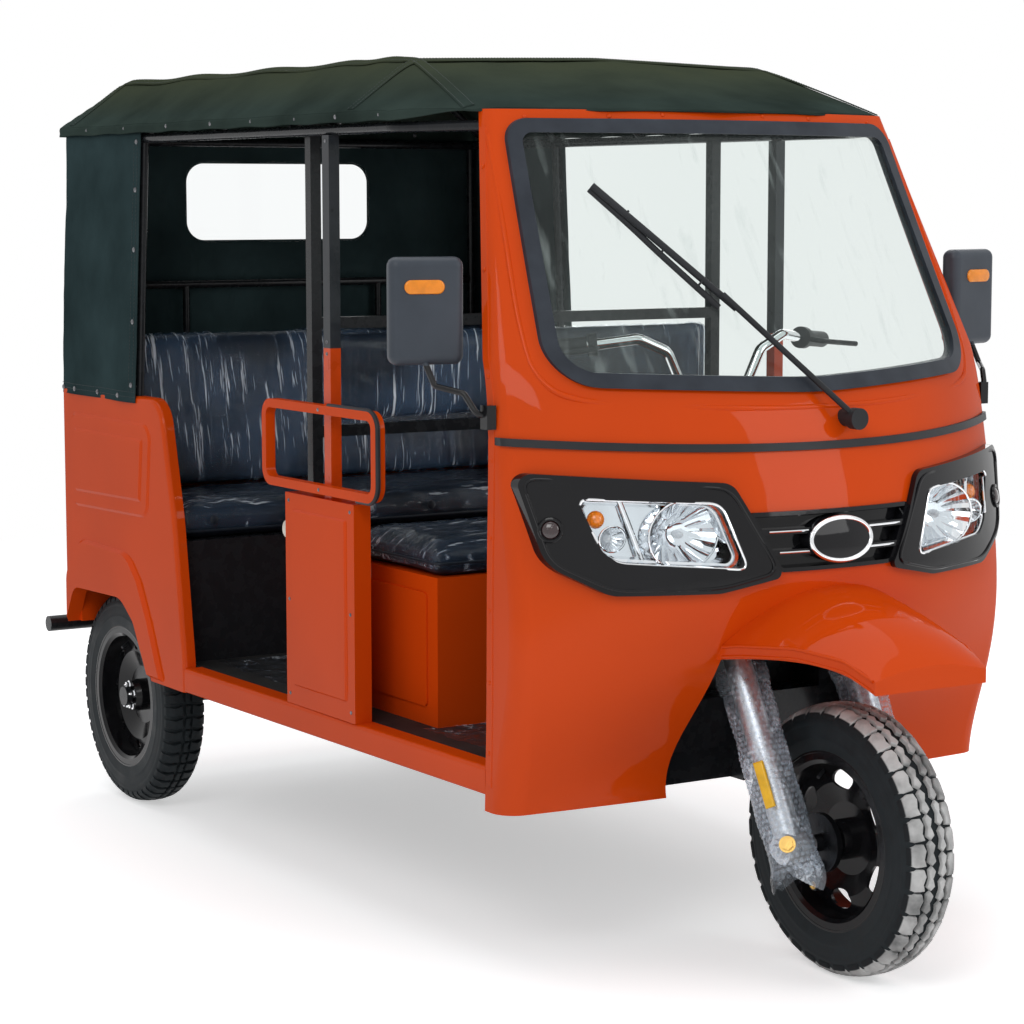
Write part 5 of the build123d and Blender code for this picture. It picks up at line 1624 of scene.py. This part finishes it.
class RICKSHAW_OT_fork_wraps(bpy.types.Operator):
    """Bubble film round the fork legs, with its ties, reflector bars and axle nuts"""
    bl_idname = "rickshaw.fork_wraps"
    bl_label = "Fork wraps"

    def execute(self, context):
        sizes = context.scene.rickshaw_fork
        ties, bars, ends = [], [], []
        for side, label in ((-1, "right"), (1, "left")):
            bubbles = on_points(f"{label}_fork_bubbles", bubble_places(side, sizes.pitch), "wrap", "steering",
                                Radius=sizes.bubble, Height=0.0017, Sides=8, Rings=5)
            film = add_piece(f"{label}_fork_film", wrap_mesh(side, f"{label}_fork_film"), "wrap", "steering", 60)
            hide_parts("fork_wraps")
            ties += [sweep_tube([wrap_point(side, z, a, lift) for a in np.linspace(0, 2 * pi, 49)], 0.0012, 6)
                     for z, lift in WRAP_TIES]
            middle = wrap_point(side, BAR_HEIGHT, BAR_TURN, 0.0020)
            bars.append(reflector(middle, middle - leg_point(side, BAR_HEIGHT), LEG_DOWN, 0.046, 0.0100, 0.0040,
                                  0.16))
            end = wrap_point(side, TYRE_RADIUS, NUT_TURN, 0.001)
            ends.append((end, end - leg_point(side, TYRE_RADIUS)))
        add_piece("wrap_ties", ties, "film", "steering")
        add_piece("fork_reflectors", bars, "yellow", "steering", 40)
        on_points("axle_nuts", ends, "zinc", "steering", bolt_tree, Radius=0.0120, Height=0.0070)
        pin = at(-0.0845, 0.0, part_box("fork_sliders")[0].z + 0.010)
        on_points("brake_lever_pin", [(pin, (-1, 0, 0))], "zinc", "steering", bolt_tree, Radius=0.0060, Height=0.0040)
        cable = smooth_path([pin + Vector((-0.004, 0, 0))] + [at(*point) for point in BRAKE_CABLE], 10)
        add_piece("brake_cable", [sweep_tube(cable, 0.0032, 10)], "plastic", "steering")
        return {"FINISHED"}


# ---- reflectors and small trim
def reflector(middle, facing, along, half_length, half_width, rise, square=1.0):
    """Raised lens set on a face: round-ended, or nearly square-ended, with a soft top edge."""
    facing = Vector(facing).normalized()
    along = (Vector(along) - facing * facing.dot(Vector(along))).normalized()
    across = facing.cross(along)
    radius = half_width * square
    outline = []
    for quarter, (u, v) in enumerate(((1, 1), (-1, 1), (-1, -1), (1, -1))):
        for k in range(7):
            a = pi / 2 * (quarter + k / 6)
            outline.append((u * (half_length - radius) + radius * cos(a), v * (half_width - radius) + radius * sin(a)))
    verts = []
    for inset, lift in ((0.0, -0.003), (0.0, rise * 0.5), (0.0012, rise * 0.86), (0.0030, rise)):
        su, sv = 1 - inset / half_length, 1 - inset / half_width
        verts += [middle + along * u * su + across * v * sv + facing * lift for u, v in outline]
    return verts, tube_faces(4, len(outline))


# cowl's rear edge: height and station
COWL_REAR = [(0.362, 0.3710), (0.500, 0.3630), (0.650, 0.3580), (0.850, 0.3550), (1.050, 0.3490), (1.200, 0.3820),
             (1.660, 0.5526)]
SIDE_RIVETS = (0.44, 0.58, 0.72, 0.86, 1.009, 1.169, 1.369, 1.568)
TOP_RIVETS = ((-0.430, 1.664), (-0.259, 1.667), (-0.140, 1.671), (0.107, 1.672), (0.236, 1.669), (0.430, 1.664))
# half of the ridge round the windscreen's foot, then its middle: x, z
SCREEN_RIDGE = [(-0.505, 1.630), (-0.522, 1.450), (-0.540, 1.260), (-0.528, 1.165), (-0.455, 1.124),
                (-0.220, 1.108)]
RIDGE_MIDDLE = (0.0, 1.104)
# mudguard's lower edge: station, height
GUARD_EDGE = [(-0.234, 0.598), (-0.165, 0.628), (-0.060, 0.640), (0.060, 0.632), (0.190, 0.612)]


SIDE_START = 0.95               # half width that a look at the sides starts from
WIPER_LINE = [(-0.347, 1.520), (-0.292, 1.454), (-0.246, 1.396), (-0.199, 1.340), (-0.157, 1.291)]
LOOP_CORNER = 0.038             # bend of the guard loops
# stations and heights of the screws on a centre post and its panel
POST_SCREWS = [(1.014, 1.180), (1.014, 1.205), (1.014, 1.063), (1.014, 0.893), (1.014, 1.625)]
POST_SCREWS += [(station, z) for station in (0.895, 1.172) for z in (0.432, 0.640, 0.856)]


def cowl_rear(tree, side, z):
    """Station of the cowl's rear edge at a height, closed in on from the table's value."""
    guess = float(np.interp(z, *zip(*COWL_REAR)))
    inside, outside = guess - 0.020, guess + 0.040
    for _ in range(12):
        middle = (inside + outside) / 2
        if tree.ray_cast(at(side * SIDE_START, middle, z), Vector((-side, 0, 0)), 0.6)[0] is None:
            outside = middle
        else:
            inside = middle
    return inside


def side_point(tree, side, station, z, lift=0.0):
    return onto(tree, at(side * SIDE_START, station, z), (-side, 0, 0), lift)


class RICKSHAW_OT_cowl_trim(bpy.types.Operator):
    """Flange strips and rivets of the cowl, mirror reflectors, wiper blade and post details"""
    bl_idname = "rickshaw.cowl_trim"
    bl_label = "Cowl trim"

    def execute(self, context):
        sizes = context.scene.rickshaw_trim
        front = Face("front_cowl")
        self.flanges(front, sizes.rivet)
        add_piece("mirror_reflectors", [reflector(at(side * 0.694, 0.4365, 1.338), (side * 0.24, -0.97, 0), (1, 0, 0),
                                                  0.040, 0.0135, 0.0045) for side in (-1, 1)], "amber_flat", angle=40)
        self.wiper_blade(sizes.blade)
        self.pressed_lines(front)
        self.guard_edging()
        for side in (-1, 1):
            self.post_screws(side)
        return {"FINISHED"}

    def flanges(self, front, rivet):
        skin = front.tree
        strips, rivets = [], []
        heights = np.linspace(0.372, 1.645, 90)
        # back from the cowl's rear edge, and out from its skin
        section = ((0.0035, -0.001), (0.0040, 0.0016), (0.0225, 0.0016), (0.0245, -0.001))
        for side in (-1, 1):
            verts = []
            for z in heights:
                rear = cowl_rear(skin, side, z)
                verts += [side_point(skin, side, rear - back, z, lift)[0] for back, lift in section]
            strips.append((verts, tube_faces(len(heights), len(section))))
            rivets += [side_point(skin, side, cowl_rear(skin, side, z) - 0.0135, z, 0.0012) for z in SIDE_RIVETS]
        add_piece("cowl_flanges", strips, "orange", angle=40)
        rivets += [front.at(x, z) for x, z in TOP_RIVETS]
        on_points("cowl_rivets", rivets, "orange", Radius=rivet, Height=0.0030)

    def pressed_lines(self, front):
        """Soft ridge under the windscreen and the two lips along the mudguard's edge."""
        line = SCREEN_RIDGE + [RIDGE_MIDDLE] + [(-x, z) for x, z in reversed(SCREEN_RIDGE)]
        ridge = smooth_path(front.line(line, -0.0035), 8)
        add_piece("screen_ridge", [sweep_tube(ridge, 0.0062, 12)], "orange", angle=80)
        guard = surface_of("front_mudguard")
        lips = []
        for side in (-1, 1):
            for rise, radius in ((0.006, 0.0030), (0.0255, 0.0034)):
                starts = [at(side * 0.4, station, float(np.interp(station, *zip(*GUARD_EDGE))) + rise)
                          for station in np.linspace(0.150, -0.232, 24)]
                met = [guard.ray_cast(start, Vector((-side, 0, 0)), 0.4)[0] for start in starts]
                lips.append(sweep_tube([place for place in met if place is not None], radius, 8))
        add_piece("mudguard_lips", lips, "orange", angle=80)

    def wiper_blade(self, radius):
        path = smooth_path(Face("windshield_glass").line(WIPER_LINE, 0.007), 6)
        clips = [sweep_tube([path[i] + Vector((0.0, -0.004, 0.0)), path[i] + Vector((0.010, -0.012, 0.014))], 0.0026, 6)
                 for i in (5, 12, 19)]
        add_piece("wiper_blade", [sweep_tube(path, radius, 8, 1.5)] + clips, "plastic", angle=50)

    def guard_edging(self):
        low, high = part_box("guard_loops")
        front, back = low.y, high.y
        corner = LOOP_CORNER
        edges = []
        for side in (-1, 1):
            line = [(back - 0.30, high.z), (front + corner, high.z)]
            line += [(front + corner * (1 - sin(a)), high.z - corner * (1 - cos(a)))
                     for a in np.linspace(0.15, pi / 2, 7)]
            line += [(front + corner * (1 - cos(a)), low.z + corner * (1 - sin(a)))
                     for a in np.linspace(0.0, pi / 2, 8)]
            line.append((front + corner + 0.05, low.z))
            edges.append(sweep_tube([(side * (high.x - 0.006), y, z) for y, z in line], 0.0056, 10))
        add_piece("guard_edging", edges, "plastic")

    def post_screws(self, side):
        label = "right" if side < 0 else "left"
        post = surface_of("centre_pillars", "guard_loops", "centre_panels")
        on_points(f"{label}_post_screws", [side_point(post, side, *spot) for spot in POST_SCREWS], "dark_metal",
                  Radius=0.0042, Height=0.0024)
        add_piece(f"{label}_panel_knob", [ball(at(side * 0.603, 1.197, 0.790), (0.008, 0.017, 0.020))], "ivory")


# ---- floor film
# x and station ranges of the film in each footwell
FLOOR_FILMS = {"right_floor_film": ((-0.535, -0.300), (0.455, 0.720)),
               "left_floor_film": ((0.300, 0.535), (0.455, 0.720)),
               "rear_floor_film": ((-0.540, 0.540), (1.285, 1.690))}


def laid_film(name, across, along, z, seed):
    """Film laid loosely on the floor, creased and lifted along its edges."""
    (x0, x1), (s0, s1) = across, along
    columns, rows = (max(24, int((high - low) / 0.009)) for low, high in (across, along))
    verts = []
    for r in range(rows):
        for c in range(columns):
            u, v = c / (columns - 1), r / (rows - 1)
            x, s = x0 + (x1 - x0) * u, s0 + (s1 - s0) * v
            inside = min(u * (columns - 1), v * (rows - 1), (1 - u) * (columns - 1), (1 - v) * (rows - 1))
            edge = max(0.0, 1 - inside / 4)
            crease = (abs(cloth_noise((x, s, 0), 9.0, (1.0, 1.3, 1), seed))
                      + 0.5 * abs(cloth_noise((x, s, 0), 23.0, (1, 1, 1), seed + 3)))
            verts.append(at(x + 0.004 * sin(s * 40) * edge, s, z + 0.0025 + 0.0062 * crease + 0.004 * edge))
    return mesh_from(name, verts, [tuple(reversed(f)) for f in grid_faces(rows, columns)])


class RICKSHAW_OT_floor_films(bpy.types.Operator):
    """Loose protective film on the floor mats"""
    bl_idname = "rickshaw.floor_films"
    bl_label = "Floor films"

    def execute(self, context):
        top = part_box("floor_pan")[1].z
        for seed, (name, (across, along)) in enumerate(FLOOR_FILMS.items()):
            mesh = laid_film(name, across, along, top, seed * 4.0)
            if mesh.polygons[0].normal.z < 0:
                mesh.flip_normals()
            film = add_piece(name, mesh, "floor_film", angle=80)
        return {"FINISHED"}


# ---- stage
CAMERA_PLACE = (-3.28044, -4.03366, 1.50601)       # x, station, z
CAMERA_TURN = 31.9033
CAMERA_PITCH = 6.6204
CAMERA_ROLL = 0.049
CAMERA_LENS, CAMERA_SENSOR = 95.08, 36
FLOOR_GLOW_AND_PAINTED_SHADOW = (0.66, 0.45)          # added whiteness of the floor, away from and under the vehicle; the lower whiteness under it is a painted shadow
# name, place, target, size; the power is the setting of the same name
LAMPS = [("key", (-4.5, -4.0, 4.6), (0, 0, 0.8), (3.2, 2.6)),
         ("front", (2.6, -5.4, 3.0), (0, -0.6, 0.8), (2.6, 2.6)),
         ("overhead", (0, 0.4, 5.2), (0, 0.2, 0.9), (4.5, 4.5)),
         ("back", (3.6, 4.2, 3.2), (0, 0.4, 0.9), (3.0, 2.4))]


def lamp(name, place, target, size, strength):
    data = bpy.data.lights.new(name, "AREA")
    data.shape = "RECTANGLE"
    data.size, data.size_y = size
    data.energy = strength
    obj = linked(name, data)
    obj.location = place
    obj.rotation_euler = (Vector(target) - Vector(place)).to_track_quat("-Z", "Y").to_euler()


def studio_world(strength):
    """Even light from all round, which is seen as white."""
    world = bpy.data.worlds.new("studio")
    bpy.context.scene.world = world
    world.use_nodes = True
    n = Nodes(world.node_tree)
    n.tree.nodes.clear()
    ambient = n.out("ShaderNodeBackground", (0.95, 0.97, 1.0), strength)
    white = n.out("ShaderNodeBackground", (1, 1, 1), 1.0)
    n.add("ShaderNodeOutputWorld", n.between(n.seen(), ambient, white))


def floor_finish():
    """White floor that keeps the shadow, is darkened under the vehicle by a painted shadow, and fades into the white
    backdrop.
    """
    f = speckled("studio_floor", ((0.93, 0.93, 0.93), (0.95, 0.95, 0.95)), ("Noise", 0.6), 0.9,
                 Specular_IOR_Level=0.1)
    ball_of = {"gradient_type": "SPHERICAL"}
    near = f.levels(f.pattern("Gradient", 1.0, stretch=(0.16, 0.16, 0.16), **ball_of), 0.0, 0.55)
    # painted shadow: less added whiteness towards the middle of the vehicle's footprint
    under = f.levels(f.pattern("Gradient", 1.0, stretch=(0.62, 0.42, 1.0), **ball_of), 0.0, 0.6, *FLOOR_GLOW_AND_PAINTED_SHADOW)
    own = f.shader.outputs[0]
    lit = f.out("ShaderNodeAddShader", own, f.out("ShaderNodeEmission", Strength=under))
    white = f.out("ShaderNodeEmission", Strength=1.0)
    f.put(f.between(near, white, f.between(f.seen(), own, lit)), f.end)
    return f.material


class RICKSHAW_OT_stage(bpy.types.Operator):
    """Floor, backdrop, lamps and camera"""
    bl_idname = "rickshaw.stage"
    bl_label = "Stage"

    def execute(self, context):
        scene = context.scene
        scene.view_settings.view_transform = "Standard"
        sizes = scene.rickshaw_stage
        studio_world(sizes.ambient)
        mesh = bpy.data.meshes.new("floor")
        with editing(mesh) as bm:
            bmesh.ops.create_circle(bm, cap_ends=True, radius=14, segments=96)
        mesh.materials.append(floor_finish())
        linked("floor", mesh)
        for name, place, target, size in LAMPS:
            lamp(name, place, target, size, getattr(sizes, name))
        data = bpy.data.cameras.new("camera")
        data.lens, data.sensor_width = CAMERA_LENS, CAMERA_SENSOR
        camera = linked("camera", data)
        camera.location = at(*CAMERA_PLACE)
        camera.rotation_euler = (radians(90 - CAMERA_PITCH), radians(CAMERA_ROLL), radians(-CAMERA_TURN))
        scene.camera = camera
        return {"FINISHED"}


# ---- sidebar
# name, settings and steps of each part of the finish
SECTIONS = [
    ("paint", RICKSHAW_PG_paint, [RICKSHAW_OT_finishes]),
    ("roof", RICKSHAW_PG_roof, [RICKSHAW_OT_roof]),
    ("curtain", RICKSHAW_PG_curtain, [RICKSHAW_OT_curtain]),
    ("seats", RICKSHAW_PG_seats, [RICKSHAW_OT_seats]),
    ("wheels", RICKSHAW_PG_wheels, [RICKSHAW_OT_tyres, RICKSHAW_OT_hubs]),
    ("lamps", RICKSHAW_PG_lamps, [RICKSHAW_OT_headlamps, RICKSHAW_OT_grille_trim]),
    ("fork", RICKSHAW_PG_fork, [RICKSHAW_OT_fork_wraps]),
    ("trim", RICKSHAW_PG_trim, [RICKSHAW_OT_cowl_trim, RICKSHAW_OT_floor_films]),
    ("stage", RICKSHAW_PG_stage, [RICKSHAW_OT_stage]),
]


class RICKSHAW_PT_panel(bpy.types.Panel):
    """Settings and steps of the finish"""
    bl_idname = "RICKSHAW_PT_panel"
    bl_label = "Rickshaw finish"
    bl_space_type = "VIEW_3D"
    bl_region_type = "UI"
    bl_category = "Rickshaw"

    def draw(self, context):
        for heading, group, steps in SECTIONS:
            box = self.layout.box()
            box.label(text=heading.capitalize())
            settings = getattr(context.scene, "rickshaw_" + heading)
            for name in group.__annotations__:
                box.prop(settings, name)
            for step in steps:
                box.operator(step.bl_idname)


CLASSES = [item for _, group, steps in SECTIONS for item in (group, *steps)] + [RICKSHAW_PT_panel]


def register():
    for item in CLASSES:
        bpy.utils.register_class(item)
    for heading, group, _ in SECTIONS:
        setattr(bpy.types.Scene, "rickshaw_" + heading, PointerProperty(type=group))


def unregister():
    for heading, _, _ in SECTIONS:
        delattr(bpy.types.Scene, "rickshaw_" + heading)
    for item in reversed(CLASSES):
        bpy.utils.unregister_class(item)


def main():
    register()
    bpy.ops.rickshaw.stage()
    bpy.ops.rickshaw.roof()
    bpy.ops.rickshaw.curtain()
    bpy.ops.rickshaw.seats()
    bpy.ops.rickshaw.tyres()
    bpy.ops.rickshaw.hubs()
    bpy.ops.rickshaw.headlamps()
    bpy.ops.rickshaw.grille_trim()
    bpy.ops.rickshaw.fork_wraps()
    bpy.ops.rickshaw.cowl_trim()
    bpy.ops.rickshaw.floor_films()
    bpy.ops.rickshaw.finishes()


if __name__ == "__main__":
    main()
